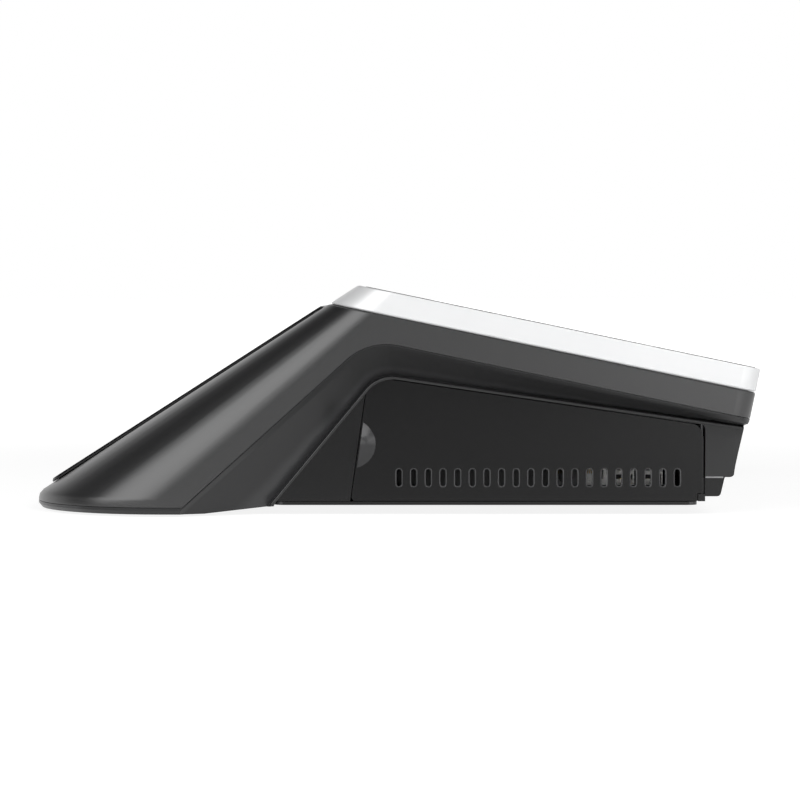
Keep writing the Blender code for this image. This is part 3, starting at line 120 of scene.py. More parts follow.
def split(tree, vector):
    """The X, Y and Z outputs of a vector."""
    return add_node(tree, "ShaderNodeSeparateXYZ", inputs={0: vector}).outputs


print("node helpers ready")

# %% [markdown]
# ## Floor
# The studio floor is a wide sheet of white paper. To the camera, and to the rays that metal and glass
# send on behind the terminal, it should be plain white; to everything else it is paper that bounces
# light up. More light on it would bleach the terminal too, so the paper's own material tells the rays
# apart. Near the terminal it keeps a share of real paper, and with it the soft shadow.

# %% Rays that meet plain white
def white_rays(tree):
    """Two outputs that are one for the camera's rays, and for those that metal and glass send on."""
    path = add_node(tree, "ShaderNodeLightPath").outputs
    return path["Is Camera Ray"], maths(tree, "MAXIMUM", path["Is Glossy Ray"], path["Is Transmission Ray"])


def mix_shaders(tree, share, first, second):
    """The output that shows the second shader for a share, and the first for the rest."""
    made = add_node(tree, "ShaderNodeMixShader", inputs={
        "Fac": share, 1: first.outputs[0], 2: second.outputs[0],
    })
    return made.outputs[0]


print("helpers for white rays ready")

# %% Paper of the floor
MIRROR_START = -0.45
MIRROR_FULL = -0.2
SHADOW_REACH = 0.35
SHADOW_END = 1.6
WHITE_SHARE = 0.72
PAPER_WHITE = 1.2
PAPER_GRAIN = {"Scale": 40.0, "Detail": 4.0}
PAPER_TONES = (0.86, 0.9)


def studio_paper():
    """Paper for light, and plain white for the camera."""
    material = bpy.data.materials.new("studio_paper")
    material.use_nodes = True
    tree = material.node_tree
    tree.nodes.clear()
    camera_ray, mirrored_ray = white_rays(tree)
    place = add_node(tree, "ShaderNodeTexCoord").outputs["Object"]
    behind = ramp(tree, split(tree, place)["Y"], MIRROR_START, MIRROR_FULL)
    either = maths(tree, "MAXIMUM", camera_ray, maths(tree, "MULTIPLY", mirrored_ray, behind))
    reach = add_node(tree, "ShaderNodeVectorMath", operation="LENGTH", inputs={0: place})
    share = ramp(tree, reach.outputs["Value"], SHADOW_REACH, SHADOW_END, WHITE_SHARE, 1.0, soft=True)
    grain = add_node(tree, "ShaderNodeTexNoise", inputs={"Vector": place, **PAPER_GRAIN})
    tint = ramp(tree, grain.outputs["Fac"], 0, 1, *PAPER_TONES)
    paper = add_node(tree, "ShaderNodeBsdfDiffuse", inputs={"Color": tint})
    white = add_node(tree, "ShaderNodeEmission", inputs={"Color": (1, 1, 1, 1), "Strength": PAPER_WHITE})
    surface = mix_shaders(tree, maths(tree, "MULTIPLY", either, share), paper, white)
    add_node(tree, "ShaderNodeOutputMaterial", inputs={"Surface": surface})
    return material


print("paper with", round(1 - WHITE_SHARE, 2), "of its shadow")

# %% Floor sheet
FLOOR_HALF = 80
sheet = bmesh.new()
bmesh.ops.create_grid(sheet, x_segments=1, y_segments=1, size=FLOOR_HALF)
floor_mesh = bpy.data.meshes.new("studio_floor")
sheet.to_mesh(floor_mesh)
sheet.free()
floor = bpy.data.objects.new("studio_floor", floor_mesh)
floor_mesh.materials.append(studio_paper())
scene.collection.objects.link(floor)
print("floor", 2 * FLOOR_HALF, "m wide")

# %% [markdown]
# ## Room
# Behind the terminal stands a white wall; overhead and in front the studio is dark. The wall could be a
# sheet like the floor, but a world that depends on the direction does the same and casts no shadow. It
# is brightest near the horizon. The dark ceiling is what leaves a dark stripe along the rounded rear
# corner.

# %% Room
WALL_STARTS = -0.1
WALL_FULL = 0.7
WALL_TOP = 0.65
WALL_BRIGHT = 0.1
WALL_LIGHT = 0.8
room = bpy.data.worlds.new("studio_room")
scene.world = room
room.use_nodes = True
sky = room.node_tree
sky.nodes.clear()
direction = split(sky, add_node(sky, "ShaderNodeTexCoord").outputs["Generated"])
behind = ramp(sky, direction["Y"], WALL_STARTS, WALL_FULL, soft=True)
low_down = ramp(sky, direction["Z"], WALL_TOP, WALL_BRIGHT, soft=True)
backdrop = maths(sky, "MULTIPLY", behind, low_down)
camera_ray, mirrored_ray = white_rays(sky)
either = maths(sky, "MAXIMUM", camera_ray, maths(sky, "MULTIPLY", mirrored_ray, backdrop))
level = ramp(sky, backdrop, 0, 1, 0.0, WALL_LIGHT)
wall = add_node(sky, "ShaderNodeBackground", inputs={"Color": (1, 1, 1, 1), "Strength": level})
white = add_node(sky, "ShaderNodeBackground", inputs={"Color": (1, 1, 1, 1), "Strength": 1.0})
add_node(sky, "ShaderNodeOutputWorld", inputs={"Surface": mix_shaders(sky, either, wall, white)})
scene.view_settings.view_transform = "Standard"
print("room light up to", WALL_LIGHT)

# %% [markdown]
# ## Lamps
# A studio shot of dark plastic is mostly a picture of its softboxes, so each lamp stands where one
# surface mirrors it. The wide one at the upper left draws the bright band down the rounded rear corner.
# The one at the front right lights the deck's edge and the tops of the finger grips. A low one in front
# brightens the long side towards the operator's end, a low one further round lights that end itself, and
# a narrow one overhead picks out the top edges. A single big lamp would be simpler, but it would treat
# all these surfaces alike and the form would go flat.

# %% Softboxes
LOOK_AT = Vector((0, 0, 0.06))
SOFTBOXES = {
    "rear_corner_softbox": ((-1.0, -1.39, 0.878), 1.95, 1.3, 24),
    "operator_softbox": ((0.98, -1.24, 1.2), 1.0, 1.2, 18),
    "low_front_softbox": ((0.84, -1.7, 0.2), 1.15, 0.4, 3.75),
    "low_side_softbox": ((1.639, -0.946, 0.3), 0.8, 0.6, 3.75),
    "edge_softbox": ((0.1, -1.0, 1.7), 1.6, 0.4, 1.8),
}
for name, (place, width, height, watts) in SOFTBOXES.items():
    lamp = bpy.data.lights.new(name, "AREA")
    lamp.shape = "RECTANGLE"
    lamp.size = width
    lamp.size_y = height
    lamp.energy = watts
    softbox = bpy.data.objects.new(name, lamp)
    softbox.location = place
    softbox.rotation_euler = (LOOK_AT - Vector(place)).to_track_quat("-Z", "Y").to_euler()
    scene.collection.objects.link(softbox)
print("lamps", list(SOFTBOXES))

# %% [markdown]
# ## Moulded plastic
# The housings are injection-moulded and their tools are spark-eroded, so the surface has a fine even
# grain that spreads highlights. A single roughness number would give the spread but none of the small
# unevenness, so a fine noise makes the grain as bump and a slow one shifts tone and roughness a little.

# %% Moulded finish
GRAIN_SIZE = 0.0003
FINE_GRAIN = {"Scale": 1 / GRAIN_SIZE, "Detail": 2.0}
SLOW_DRIFT = {"Scale": 14.0, "Detail": 3.0}
finishes = {}


def finish(name, colour, roughness, metallic=0.0, specular=0.5, grain=0.0, drift=0.06):
    """A surface whose tone and roughness drift slowly by a share, with a fine grain as bump."""
    material = bpy.data.materials.new(name)
    material.use_nodes = True
    tree = material.node_tree
    shader = tree.nodes["Principled BSDF"]
    shader.inputs["Metallic"].default_value = metallic
    shader.inputs["Specular IOR Level"].default_value = specular
    place = add_node(tree, "ShaderNodeTexCoord").outputs["Object"]
    slow = add_node(tree, "ShaderNodeTexNoise", inputs={"Vector": place, **SLOW_DRIFT})
    tone = add_node(tree, "ShaderNodeMix", data_type="RGBA", inputs={
        "Factor": slow.outputs["Fac"],
        "A": (*[c * (1 - drift) for c in colour], 1),
        "B": (*[min(1, c * (1 + drift)) for c in colour], 1),
    })
    spread = ramp(tree, slow.outputs["Fac"], 0, 1, roughness * (1 - drift), roughness * (1 + drift))
    tree.links.new(tone.outputs["Result"], shader.inputs["Base Color"])
    tree.links.new(spread, shader.inputs["Roughness"])
    if grain:
        fine = add_node(tree, "ShaderNodeTexNoise", inputs={"Vector": place, **FINE_GRAIN})
        bump = add_node(tree, "ShaderNodeBump", inputs={
            "Strength": grain, "Distance": GRAIN_SIZE / 4, "Height": fine.outputs["Fac"],
        })
        tree.links.new(bump.outputs["Normal"], shader.inputs["Normal"])
    return material


finishes["housing"] = finish(
    "satin_housing_plastic", (0.017, 0.017, 0.0175), 0.32, specular=0.93, grain=0.1,
)
print(finishes["housing"].name)

# %% [markdown]
# ## Two grains on the base
# The lower housing is one moulding, but its tool is textured in zones: satin on the waist, finer on the flat
# side walls and the plinth. The walls and the plinth are coloured darker, partly their own darker tone and
# partly painted shade for the overhang above them. Deep in the waist the colour is lighter, a painted light
# that stands in for the light reaching into the crease. Zones could be painted on the mesh face by face; masks
# from the place and the facing of a point need no marks on the mesh.

# %% Base finish
WALL_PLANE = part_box("base_plate")[1][1]
WALL_TOLERANCE = 0.0004
FLAT_FACING = 0.985
CREASE_STARTS = 0.18
CREASE_FULL = 0.1745
FRONT_BLOCK_X = 0.19
PLINTH_TOP = 0.0229


def lay_over(tree, socket, mask, value):
    """Mixes a value over whatever already feeds one of the shader's sockets, where a mask is one."""
    target = tree.nodes["Principled BSDF"].inputs[socket]
    kind = "RGBA" if socket == "Base Color" else "FLOAT"
    mixed = add_node(tree, "ShaderNodeMix", data_type=kind, inputs={
        "Factor": mask, "A": target.links[0].from_socket, "B": value,
    })
    tree.links.new(mixed.outputs["Result"], target)


def base_finish(waist, deep, wall, waist_roughness, wall_roughness):
    """The base's plastic: satin on the waist, lighter deep in it as painted light, and on the wall a finer
    grain coloured darker, partly its own tone and partly painted shade.
    """
    material = finish("satin_base_plastic", waist, waist_roughness, specular=0.4, grain=0.1)
    tree = material.node_tree
    place = add_node(tree, "ShaderNodeTexCoord").outputs
    spot = split(tree, place["Object"])
    from_middle = maths(tree, "ABSOLUTE", spot["Y"])
    sideways = maths(tree, "ABSOLUTE", split(tree, place["Normal"])["Y"])
    flat = maths(tree, "GREATER_THAN", sideways, FLAT_FACING)
    at_wall = maths(tree, "COMPARE", from_middle, WALL_PLANE, WALL_TOLERANCE)
    crease = ramp(tree, from_middle, CREASE_STARTS, CREASE_FULL, soft=True)
    crease_painted_light = maths(tree, "MULTIPLY", crease, maths(tree, "SUBTRACT", 1.0, flat))
    dark_tone_and_painted_shade_zone = add_node(tree, "ShaderNodeMix", inputs={
        "Factor": maths(tree, "GREATER_THAN", spot["X"], FRONT_BLOCK_X),
        "A": maths(tree, "MULTIPLY", at_wall, flat),
        "B": maths(tree, "LESS_THAN", spot["Z"], PLINTH_TOP),
    }).outputs["Result"]
    # painted light: a lighter colour laid over the waist's curved crease
    lay_over(tree, "Base Color", crease_painted_light, (*deep, 1))
    # dark tone of the wall and the plinth: partly their own, partly painted shade under the overhang
    lay_over(tree, "Base Color", dark_tone_and_painted_shade_zone, (*wall, 1))
    lay_over(tree, "Roughness", dark_tone_and_painted_shade_zone, wall_roughness)
    return material


# deep is painted light for the crease; wall is partly its own dark tone and partly painted shade
finishes["base"] = base_finish(
    waist=(0.02, 0.02, 0.0206), deep=(0.042, 0.042, 0.0434), wall=(0.005, 0.005, 0.0052),
    waist_roughness=0.33, wall_roughness=0.25,
)
print(finishes["base"].name)

# %% [markdown]
# ## Finger grip on the cover
# Each cover is a dark, finely grained panel with a raised half-round grip. The grip is coloured lighter than
# the flat, a painted light for the light that falls on its bulge. The grip is part of the same moulding, so a
# second material on its faces would draw a hard edge; a mask that starts just proud of the wall fades the
# change in over the foot of the bulge.

# %% Cover finish
GRIP_STARTS = 0.00005
GRIP_FULL = 0.0003


def cover_finish(flat, grip_painted_light, flat_roughness, grip_roughness):
    """The covers' plastic: a dark fine grain on the flat, and a lighter colour as painted light on the bulge
    that fingers hold.
    """
    material = finish("matte_cover_plastic", flat, flat_roughness, specular=0.32, grain=0.12)
    tree = material.node_tree
    spot = split(tree, add_node(tree, "ShaderNodeTexCoord").outputs["Object"])
    from_middle = maths(tree, "ABSOLUTE", spot["Y"])
    # painted light: the mask marks the raised bulge, which gets a lighter colour in place of the light on it
    painted_grip_light_mask = ramp(tree, from_middle, WALL_PLANE + GRIP_STARTS, WALL_PLANE + GRIP_FULL)
    lay_over(tree, "Base Color", painted_grip_light_mask, (*grip_painted_light, 1))
    lay_over(tree, "Roughness", painted_grip_light_mask, grip_roughness)
    return material


# the grip colour is painted light: lighter than the flat, to stand in for the light on the bulge
finishes["cover"] = cover_finish(
    flat=(0.005, 0.005, 0.0052), grip_painted_light=(0.036, 0.036, 0.0372), flat_roughness=0.23, grip_roughness=0.22,
)
print(finishes["cover"].name)

# %% [markdown]
# ## Screens
# Each display is a sheet of etched glass over a panel. From behind, the glass is printed black except
# for a window, through which the dark panel shows a shade lighter. The window could be a second sheet
# just under the glass, but the glass would have to be clear for that; a mask measured in the plane of
# the glass puts the print where it belongs and keeps the piece whole.

# %% Printed glass
PRINT_BLACK = (0.007, 0.007, 0.0077)
WINDOW_GREY = (0.025, 0.026, 0.032)
SIDE_PLANE_TOLERANCE = 0.0005


def slope_direction(node):
    """The direction up or down a tilted sheet: the longest edge of its mesh that lies in the side plane."""
    mesh = nodes[node].data
    best = Vector((0, 0, 0))
    for edge in mesh.edges:
        first, second = (mesh.vertices[i].co for i in edge.vertices)
        run = second - first
        if abs(run.y) < SIDE_PLANE_TOLERANCE and run.length > best.length:
            best = run
    return best.normalized()


def printed_glass(node, panel, margin):
    """Etched black glass with a window over a panel, smaller than the panel by a margin."""
    material = finish(node, PRINT_BLACK, roughness=0.3, specular=0.35, drift=0.1)
    tree = material.node_tree
    along = slope_direction(node)
    low, high = (Vector(corner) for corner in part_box(panel))
    length = abs((high - low).x * along.x) + abs((high - low).z * along.z)
    centre = ((low + high) / 2).dot(along)
    place = add_node(tree, "ShaderNodeTexCoord").outputs["Object"]
    run = add_node(tree, "ShaderNodeVectorMath", operation="DOT_PRODUCT", inputs={0: place, 1: along})
    in_length = maths(tree, "COMPARE", run.outputs["Value"], centre, length / 2 - margin)
    in_width = maths(tree, "COMPARE", split(tree, place)["Y"], 0, high.y - margin)
    lay_over(tree, "Base Color", maths(tree, "MULTIPLY", in_length, in_width), (*WINDOW_GREY, 1))
    return material


finishes["touch_glass"] = printed_glass("touch_glass", "main_lcd_panel", 0.004)
finishes["customer_glass"] = printed_glass("customer_glass", "customer_lcd_panel", 0.003)
print("deck slope", round(math.degrees(math.asin(abs(slope_direction("touch_glass").z))), 1), "degrees")

# %% [markdown]
# ## Stock finishes
# The rest are the plain stock finishes of the trade: paint, plated steel, coated steel, laminate,
# anodised metal, rubber. They share one recipe, because what tells them apart is their colour, their
# gloss and the depth of their grain.

# %% Stock finishes
finishes.update({
    "bead": finish("smooth_bead_plastic", (0.014, 0.014, 0.0145), 0.32, specular=0.6, grain=0.05),
    # edge line: a light colour that is a painted highlight on the front block's edge
    "edge_line": finish("edge_line_painted_highlight", (0.2, 0.2, 0.204), 0.3, specular=1.0, grain=0.04),
    # slot rims: lighter than the cover, a painted highlight on the chamfers
    "slot_rim": finish("slot_rim_painted_highlight", (0.06, 0.06, 0.0615), 0.25, specular=1.0, grain=0.04),
    "silver": finish("silver_paint", (0.76, 0.765, 0.77), 0.38, metallic=0.25, grain=0.05, drift=0.02),
    "black_plastic": finish("black_socket_plastic", (0.014, 0.014, 0.015), 0.45, grain=0.12),
    "port_plastic": finish("grey_socket_plastic", (0.22, 0.22, 0.225), 0.5, grain=0.1),
    "port_steel": finish("nickel_shell", (0.9, 0.89, 0.87), 0.43, metallic=1.0, grain=0.05),
    "gold": finish("contact_gold", (0.83, 0.58, 0.22), 0.25, metallic=1.0, grain=0.04),
    "green_light": finish("green_lamp_window", (0.05, 0.32, 0.09), 0.2),
    "amber_light": finish("amber_lamp_window", (0.45, 0.2, 0.03), 0.2),
    "steel": finish("zinc_steel", (0.55, 0.56, 0.57), 0.36, metallic=1.0, grain=0.1),
    "dark_steel": finish("black_coated_steel", (0.065, 0.065, 0.067), 0.45, grain=0.1),
    "alloy": finish("black_anodising", (0.05, 0.05, 0.05), 0.4, metallic=0.8, grain=0.1),
    "lcd": finish("dark_panel", (0.02, 0.02, 0.024), 0.2),
    "chip": finish("black_epoxy", (0.02, 0.02, 0.02), 0.55, grain=0.15),
    "board": finish("green_laminate", (0.015, 0.09, 0.04), 0.4, drift=0.2),
    "rubber": finish("foot_rubber", (0.02, 0.02, 0.02), 0.85, grain=0.3),
    "lens": finish("light_pipe", (0.75, 0.78, 0.8), 0.15),
})
print(len(finishes), "finishes")

# %% [markdown]
# ## Softened edges
# No moulded edge is a knife edge. The frame's solids have their true corners but sharp arrises, so most
# pieces get a narrow rounding, and all are shaded smooth across their gentle bends. The base and the
# covers are only shaded, because a bevel breaks up on their many short edges. Moving the vertices by
# hand would change the measured pieces; modifiers leave them as they are.

# %% Shading by angle
SHARP_DEGREES = 28


def smooth_group():
    """Nodes that shade a mesh smooth, apart from its sharp edges."""
    group = bpy.data.node_groups.new("shade_by_angle", "GeometryNodeTree")
    for way in ("INPUT", "OUTPUT"):
        group.interface.new_socket("Geometry", in_out=way, socket_type="NodeSocketGeometry")
    start = add_node(group, "NodeGroupInput")
    angle = add_node(group, "GeometryNodeInputMeshEdgeAngle")
    sharp = add_node(group, "FunctionNodeCompare", operation="GREATER_THAN", inputs={
        "A": angle.outputs["Unsigned Angle"], "B": math.radians(SHARP_DEGREES),
    })
    faces = add_node(group, "GeometryNodeSetShadeSmooth", domain="FACE", inputs={
        "Geometry": start.outputs[0],
    })
    edges = add_node(group, "GeometryNodeSetShadeSmooth", domain="EDGE", inputs={
        "Geometry": faces.outputs[0], "Selection": sharp.outputs[0], "Shade Smooth": False,
    })
    add_node(group, "NodeGroupOutput", inputs={0: edges.outputs[0]})
    return group


SMOOTH = smooth_group()
print("edges sharper than", SHARP_DEGREES, "degrees stay sharp")

# %% Narrow roundings
BEVEL_DEGREES = 32
WELD_DISTANCE = 0.00002
FLAT_DEGREES = 0.2


def soften(piece, width):
    """Narrow roundings on a piece's sharp edges; its broad flat faces keep their flat shading."""
    weld = piece.modifiers.new("weld", "WELD")
    weld.merge_threshold = WELD_DISTANCE
    flats = piece.modifiers.new("flats", "DECIMATE")
    flats.decimate_type = "DISSOLVE"
    flats.angle_limit = math.radians(FLAT_DEGREES)
    if width:
        bevel = piece.modifiers.new("edge", "BEVEL")
        bevel.width = width
        bevel.segments = 2
        bevel.limit_method = "ANGLE"
        bevel.angle_limit = math.radians(BEVEL_DEGREES)
        bevel.harden_normals = False
    piece.modifiers.new("shade", "NODES").node_group = SMOOTH
    normals = piece.modifiers.new("normals", "WEIGHTED_NORMAL")
    normals.keep_sharp = True


print("edges sharper than", BEVEL_DEGREES, "degrees can be rounded")

# %% [markdown]
# ## Dressing the frame
# Each measured piece now gets its finish. The record says which stock a piece is made of, so most follow
# that; the covers and the two sheets of glass have finishes of their own. Choosing by hand for 59 pieces
# would work once, but would not follow a change in the record.

# %% Dress every piece
FINE_EDGE = 0.0001
EDGE_BY_SLOT = {"housing": 0.0003, "base": 0, "silver": 0.0003}
slots = {entry["node"]: entry["material_slot"] for entry in frame["record"]["subparts"]}


def finish_of(name):
    """The covers and the glass have finishes of their own; the rest follow their slot."""
    if name.endswith("_cover"):
        return finishes["cover"]
    return finishes[name if name in finishes else slots[name]]


for name, piece in nodes.items():
    piece.data.materials.clear()
    piece.data.materials.append(finish_of(name))
    soften(piece, EDGE_BY_SLOT.get(slots[name], FINE_EDGE))
print("dressed", len(nodes), "pieces")

# %% [markdown]
# ## Pieces that only the eye needs
# The frame has every part at its true size, but not the last small things: the bead on the ridge, the
# bright rims of the vent slots, the mouths and contacts of the sockets. They could be cut into the
# solids, which would make the mechanism heavy for nothing. Here each one is a small mesh of its own that
# rides on the body that carries it.

# %% Making a small piece
def make_piece(name, mesh_work, surface, slot, body, edge=FINE_EDGE):
    """A finished piece from a bmesh: normals out, finish on, edges softened, carried by a body."""
    bmesh.ops.recalc_face_normals(mesh_work, faces=mesh_work.faces)
    mesh = bpy.data.meshes.new(name)
    mesh_work.to_mesh(mesh)
    mesh_work.free()
    mesh.materials.append(finishes[surface])
    piece = bpy.data.objects.new(name, mesh)
    scene.collection.objects.link(piece)
    soften(piece, edge)
    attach(piece, body)
    return piece


print("pieces get an edge of", FINE_EDGE * 1000, "mm unless they ask for another")

# %% [markdown]
# ## Rings and sweeps
# Trim, ribs and contacts are bars, and holes, pins and screws are turned. All of them are rings of points
# with quads between one ring and the next. A curve object could draw the bars, but it is turned into a
# mesh only at the end; rings give clean faces in a known order from the start.

# %% Rings and sweeps
def add_ring_faces(work, rings, caps=True):
    """Quads between one ring of points and the next, with a cap on each end."""
    count = len(rings[0])
    for first, second in zip(rings, rings[1:]):
        for i in range(count):
            j = (i + 1) % count
            work.faces.new((first[i], first[j], second[j], second[i]))
    if caps:
        work.faces.new(rings[0])
        work.faces.new(reversed(rings[-1]))


def sweep(work, path, section, place):
    """A bar of one section along a path in the side plane; section points are (up, in) from the path."""
    rings = []
    for i, spot in enumerate(path):
        along = (Vector(path[min(i + 1, len(path) - 1)]) - Vector(path[max(i - 1, 0)])).normalized()
        up = Vector((-along.y, along.x))
        ring = [(Vector(spot) + up * rise, depth) for rise, depth in section]
        rings.append([work.verts.new(place(at.x, depth, at.y)) for at, depth in ring])
    add_ring_faces(work, rings)


print("rings and sweeps ready")

# %% [markdown]
# ## Bars on the side walls
# Both long sides carry the same trim, mirrored. Each trim is a bar of one section that follows a line on
# the wall. A curve object with a bevel could do this too, but its section may roll in a bend; the sweep
# keeps every section square to the wall.

# %% Bars on both walls
SIDES = {"near": -1, "far": 1}


def on_wall(side):
    """Places a point by its x, its depth in from the base's side wall, and its height."""
    return lambda x, depth, z: (x, side * (WALL_PLANE - depth), z)


def millimetres(points):
    """Points given in millimetres, as metres."""
    return [tuple(value / 1000 for value in point) for point in points]


def wall_bars(name, path, section, surface, slot):
    """The same swept bar on the near wall and on the far one."""
    for side_name, side in SIDES.items():
        work = bmesh.new()
        sweep(work, path, section, on_wall(side))
        make_piece(f"{name}_{side_name}", work, surface, slot, "terminal", 0)


print("wall plane at", round(WALL_PLANE, 4))

# %% [markdown]
# ## Ridge bead
# Where the waist ends, the wall starts with a rounded bead that runs up the slope, round the bend and
# down to the operator's end. A bevel along the solid's edge would break up where the bend's facets
# meet, so the bead is one bar swept along the line of that edge, rooted in the wall behind it.

# %% Ridge bead
RIDGE_FOOT = (-0.0729, 0.0057)
RIDGE_FRONT = (0.2122, 0.0524)
BEND_CENTRE = (0.00036, 0.06266)
BEND_RADIUS = 0.02
BEND_FROM = math.radians(140.2)
BEND_TO = math.radians(81.8)
BEND_STEPS = 14
BEAD = millimetres([
    (-0.3, 4.0), (-0.3, 0.1), (-0.15, -0.15), (0.25, -0.3), (0.85, -0.3), (1.3, -0.1), (1.6, 0.3),
    (1.75, 0.8), (1.75, 4.0),
])


def ridge_line():
    """Up the rear slope of the base wall, round its bend, and along its top to the front."""
    bend = []
    for i in range(BEND_STEPS + 1):
        turn = BEND_FROM + (BEND_TO - BEND_FROM) * i / BEND_STEPS
        x = BEND_CENTRE[0] + BEND_RADIUS * math.cos(turn)
        z = BEND_CENTRE[1] + BEND_RADIUS * math.sin(turn)
        bend.append((x, z))
    return [RIDGE_FOOT, *bend, RIDGE_FRONT]


wall_bars("ridge_bead", ridge_line(), BEAD, "bead", "base")
print("ridge bead of", len(ridge_line()), "points on each side")

# %% [markdown]
# ## Edge of the front block
# The block in front of the covers overhangs its plinth by a hair, and that edge draws a thin light line. A
# bevel on the solid's own edge would be too thin to show, so the edge is a swept bar like the bead, only
# shorter and straight. The bar is coloured far lighter than the base: a painted highlight that draws the line.

# %% Front block edge
EDGE_LINE = [(0.1904, PLINTH_TOP), (0.2012, PLINTH_TOP)]
EDGE = millimetres([(-0.45, 2.0), (-0.45, 0.0), (-0.3, -0.2), (0.1, -0.25), (0.5, -0.1), (0.6, 2.0)])
# the edge line finish is a painted highlight: a light colour on the bar
wall_bars("front_block_edge", EDGE_LINE, EDGE, "edge_line", "base")
print("front block edges")

# %% [markdown]
# ## Hinge gap seals
# The covers need a gap beside their hinges to turn in, and a sight line through two such gaps would show
# the far side of the room. A strip of foam rubber glued to the front block behind each gap keeps dust and
# light out. Its section is a D: flat where it is glued, round where it faces the bay.

# %% Hinge gap seals
SEAL_LINE = [(0.188, 0.0085), (0.188, 0.0525)]
SEAL = millimetres([
    (-2.5, 8.5), (-2.5, 11.0), (1.0, 11.0), (2.0, 10.6), (2.5, 9.75), (2.0, 8.9), (1.0, 8.5),
])
wall_bars("hinge_gap_seal", SEAL_LINE, SEAL, "rubber", "rubber")
print("a seal behind each hinge")

# %% [markdown]
# ## Vent slot rims
# Each slot in a cover has a small chamfer, and the chamfers catch the light as bright outlines. The tool that
# moulds them is polished there, so they are smoother than the cover's grain. Colouring the cover's own chamfer
# faces would look flat from the side; a thin ring laid on each chamfer reflects as the real one does. The ring
# is also coloured lighter than the cover, a painted highlight on top of its real reflection.

# %% Vent slot rims
SLOT_COUNT = 20
SLOT_PITCH = 0.00891
SLOT_MIDDLE = (0.004014, 0.0226)
SLOT_WIDTH = 0.0032
SLOT_LENGTH = 0.0106
SLOT_CHAMFER = 0.00065
RIM_LIFT = 0.00003
RIM_ROOT = 0.0003


def slot_outline(middle, grow, steps=7):
    """The slot's outline: two half circles joined by its straight sides."""
    radius = SLOT_WIDTH / 2 + grow
    reach = SLOT_LENGTH / 2 - SLOT_WIDTH / 2
    points = []
    for turn, lift in ((0, reach), (math.pi, -reach)):
        for i in range(steps + 1):
            angle = turn + math.pi * i / steps
            x = middle[0] + radius * math.cos(angle)
            z = middle[1] + lift + radius * math.sin(angle)
            points.append((x, z))
    return points


def slot_rims(work, place):
    """A ring on the chamfer of every slot in one cover."""
    for i in range(SLOT_COUNT):
        middle = (SLOT_MIDDLE[0] + SLOT_PITCH * i, SLOT_MIDDLE[1])
        wide = slot_outline(middle, SLOT_CHAMFER)
        narrow = slot_outline(middle, -RIM_LIFT)
        loops = ((wide, -RIM_LIFT), (narrow, SLOT_CHAMFER - RIM_LIFT), (wide, SLOT_CHAMFER + RIM_ROOT))
        rings = [[work.verts.new(place(x, depth, z)) for x, z in outline] for outline, depth in loops]
        add_ring_faces(work, [*rings, rings[0]], caps=False)


# each ring gets the slot rim finish, whose light colour is a painted highlight
for side_name, side in SIDES.items():
    work = bmesh.new()
    slot_rims(work, on_wall(side))
    make_piece(f"{side_name}_cover_slot_rims", work, "slot_rim", "housing", f"{side_name}_cover", 0)
print(SLOT_COUNT, "rims on each cover")

# %% [markdown]
# ## Sockets
# Behind the covers are the sockets that the shop's cables go into. On the real ones each mouth is a
# stepped hole in a folded steel or moulded block, with contacts inside. A hole could be cut with a
# boolean, but the result is a mesh that nobody can follow. Here the block's outer face is laid out as a
# grid from the mouth's own edges; cells in the mouth sink to its floor, and walls join the two levels.

# %% Blocks with mouths
def socket_block(low, high, mouths, floor, side):
    """A closed block with stepped mouths in its outer face. A mouth is (x, z, x, z), corner to corner."""
    xs = sorted({round(x, 6) for x in (low[0], high[0], *[m[i] for m in mouths for i in (0, 2)])})
    zs = sorted({round(z, 6) for z in (low[2], high[2], *[m[i] for m in mouths for i in (1, 3)])})
    face, back = (low[1], high[1]) if side < 0 else (high[1], low[1])
    bottom = face - side * floor
    work = bmesh.new()
    corners = {}

    def corner(i, y, k):
        if (i, y, k) not in corners:
            corners[i, y, k] = work.verts.new((xs[i], y, zs[k]))
        return corners[i, y, k]

    def level(i, k):
        if not (0 <= i < len(xs) - 1 and 0 <= k < len(zs) - 1):
            return back
        x = (xs[i] + xs[i + 1]) / 2
        z = (zs[k] + zs[k + 1]) / 2
        return bottom if any(m[0] < x < m[2] and m[1] < z < m[3] for m in mouths) else face

    def wall(i, k, j, m, here, there):
        if here != there:
            ends = [corner(i, here, k), corner(j, here, m), corner(j, there, m), corner(i, there, k)]
            work.faces.new(ends)

    for i in range(len(xs) - 1):
        for k in range(len(zs) - 1):
            for y in (level(i, k), back):
                square = ((i, k), (i + 1, k), (i + 1, k + 1), (i, k + 1))
                work.faces.new([corner(a, y, b) for a, b in square])
            wall(i + 1, k, i + 1, k + 1, level(i, k), level(i + 1, k))
            wall(i, k + 1, i + 1, k + 1, level(i, k), level(i, k + 1))
            if i == 0:
                wall(0, k, 0, k + 1, level(0, k), back)
            if k == 0:
                wall(i, 0, i + 1, 0, level(i, 0), back)
    return work


print("socket blocks ready")

# %% [markdown]
# ## Bars inside the sockets
# Tongues, contacts and lamp windows are all small square bars that go straight or sloping into a socket.
# Scaled cubes would do, but a bar between two points says where it starts and ends, which is how a
# contact is drawn. Depths are measured in from the socket's own face.

# %% Bars inside the sockets
SHELL_EDGE = 0.0002
TONGUE_EDGE = 0.00015


def add_bar(work, start, end, width, height):
    """A square bar between two points, for tongues and contacts."""
    start, end = Vector(start), Vector(end)
    along = (end - start).normalized()
    across = Vector((1, 0, 0)) * width / 2
    up = along.cross(Vector((1, 0, 0))).normalized() * height / 2
    rings = []
    for spot in (start, end):
        signs = ((-1, -1), (1, -1), (1, 1), (-1, 1))
        rings.append([work.verts.new(spot + across * a + up * b) for a, b in signs])
    add_ring_faces(work, rings)


